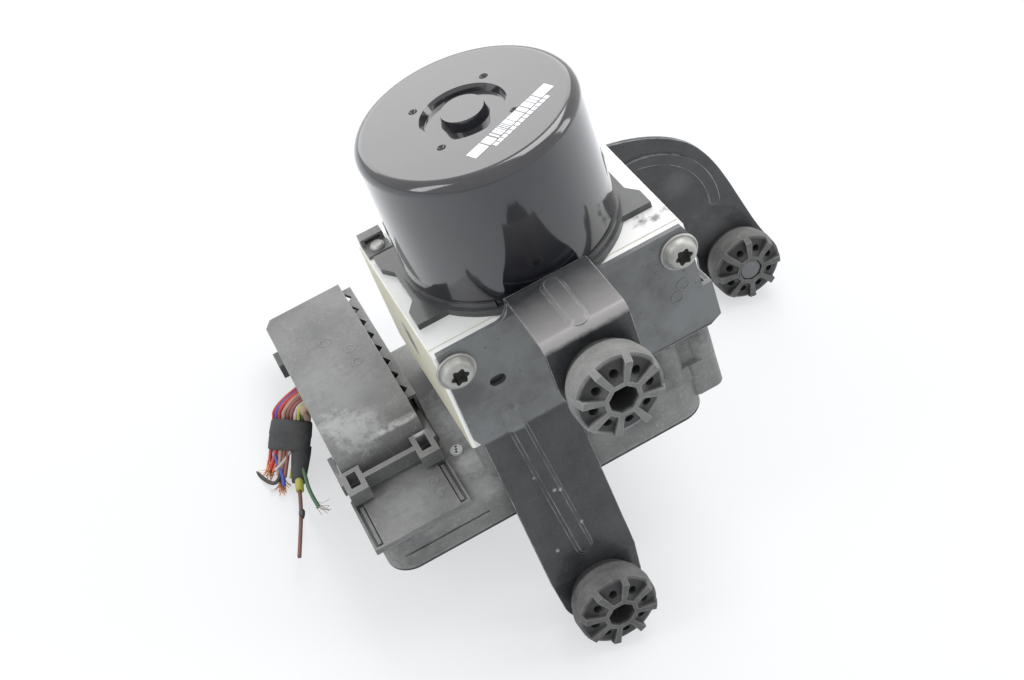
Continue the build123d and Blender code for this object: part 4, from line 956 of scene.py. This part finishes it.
def make_label():
    """Flat strip on the can's top, and a thin row of small bare blocks beside it."""
    along = Vector((math.cos(label_turn), math.sin(label_turn), 0))
    beside = Vector((-math.sin(label_turn), math.cos(label_turn), 0))
    strips = [(0.0, 0.0, label_length, label_width)]
    blocks = 13
    block_pitch, block_length, block_width = 2.15 * MM, 1.75 * MM, 1.9 * MM
    row_along, row_beside = 1.4 * MM, -3.75 * MM
    for number in range(blocks):
        place = (number - (blocks - 1) / 2) * block_pitch + row_along
        strips.append((place, row_beside, block_length, block_width))
    box = [(4, 5, 6, 7), (0, 1, 5, 4), (1, 2, 6, 5), (2, 3, 7, 6), (3, 0, 4, 7), (3, 2, 1, 0)]
    points, faces = [], []
    for shift_along, shift_beside, length, width in strips:
        middle = label_middle + along * shift_along + beside * shift_beside
        corners = [middle + along * x * length / 2 + beside * y * width / 2 + Vector((0, 0, height))
                   for height in (can_top, can_top + label_thickness)
                   for x, y in ((-1, -1), (1, -1), (1, 1), (-1, 1))]
        add_shifted(points, faces, corners, box)
    add_mesh("can_label", points, faces, label_paper(), "white_membrane", smooth=False)


make_label()


# ---------------------------------------------------------------- bolts
def circle_ring(x, radius, out, count, lobes=0.0):
    """A ring round a bolt's axis, in millimetres, with six lobes if asked."""
    ring = []
    for step in range(count):
        a = 2 * math.pi * step / count
        reach = (radius + lobes * math.cos(6 * a)) * MM
        ring.append(Vector((x + reach * math.cos(a), plate_front - out * MM, bolt_z + reach * math.sin(a))))
    return ring


def make_bolt_heads():
    """Pan heads with a raised rim and a six-lobe socket, with their shanks in the plate."""
    count = 72
    rim = bolt_head_r / MM
    # radius and distance in front of the plate, in millimetres
    head = ((3.0, -18.0), (3.0, -0.02), (rim - 0.5, 0.0), (rim, 0.35), (rim, 0.9), (6.95, 1.3), (6.6, 1.3),
            (6.35, 1.0), (6.15, 1.0), (5.95, 1.5), (5.7, 2.7), (5.15, 3.65), (4.4, 4.25), (3.75, 4.45))
    # radius, height of the lobes and distance in front of the plate
    socket = ((2.95, 0.45, 4.45), (2.85, 0.45, 4.15), (2.7, 0.42, 1.6), (1.2, 0.1, 1.4))
    first_dark = len(head) * count
    points, faces, dark = [], [], []
    for x in bolt_xs:
        rings = [circle_ring(x, radius, out, count) for radius, out in head]
        rings += [circle_ring(x, radius, out, count, lobes) for radius, lobes, out in socket]
        more_points, more_faces = rings_mesh(rings)
        add_shifted(points, faces, more_points, more_faces)
        shank_cap = len(more_faces) - 2
        dark += [number >= first_dark and number != shank_cap for number in range(len(more_faces))]
    bolts = add_mesh("bolt_heads", points, faces, zinc_steel, "zinc_steel")
    bolts.data.materials.append(dark_socket)
    for polygon, is_dark in zip(bolts.data.polygons, dark):
        polygon.material_index = 1 if is_dark else 0
    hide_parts("bracket_bolts")


make_bolt_heads()


# ---------------------------------------------------------------- moulded and stamped ring marks
def make_ring_marks():
    """Plain raised rings: three on the connector's cover, two on its panel, two on the bracket's plate."""
    count, tube_count = 40, 8
    flatness = 0.6
    thickness = {"cover": 0.28, "panel": 0.28, "plate": 0.4}
    plate_y = plate_front / MM
    marks = (((-74.9, 57.2, shell_top), 2.3, "cover"), ((-67.4, 46.5, shell_top), 2.0, "cover"),
             ((-67.6, 37.0, shell_top), 2.0, "cover"), ((-64.6, -26.8, panel_top), 2.1, "panel"),
             ((-64.8, -33.3, panel_top), 2.1, "panel"), ((39.4, plate_y, -26.3), 2.2, "plate"),
             ((42.9, plate_y, -22.0), 2.2, "plate"))
    groups = {where: ([], []) for where in thickness}
    for centre, radius, where in marks:
        points, faces = groups[where]
        shift = len(points)
        thick = thickness[where]
        for step in range(count):
            a = 2 * math.pi * step / count
            for part in range(tube_count):
                b = 2 * math.pi * part / tube_count
                reach = radius + thick * math.cos(b)
                lift = thick * flatness * math.sin(b)
                if where == "plate":
                    offset = Vector((reach * math.cos(a), -lift, reach * math.sin(a)))
                else:
                    offset = Vector((reach * math.cos(a), reach * math.sin(a), lift))
                points.append((Vector(centre) + offset) * MM)
                this, after = step * tube_count, (step + 1) % count * tube_count
                other = (part + 1) % tube_count
                quad = (this + part, this + other, after + other, after + part)
                faces.append(tuple(shift + index for index in quad))
    add_mesh("cover_marks", *groups["cover"], black_plastic, "black_plastic")
    add_mesh("panel_marks", *groups["panel"], black_plastic, "black_plastic")
    add_mesh("plate_marks", *groups["plate"], black_sheet, "black_sheet")


make_ring_marks()
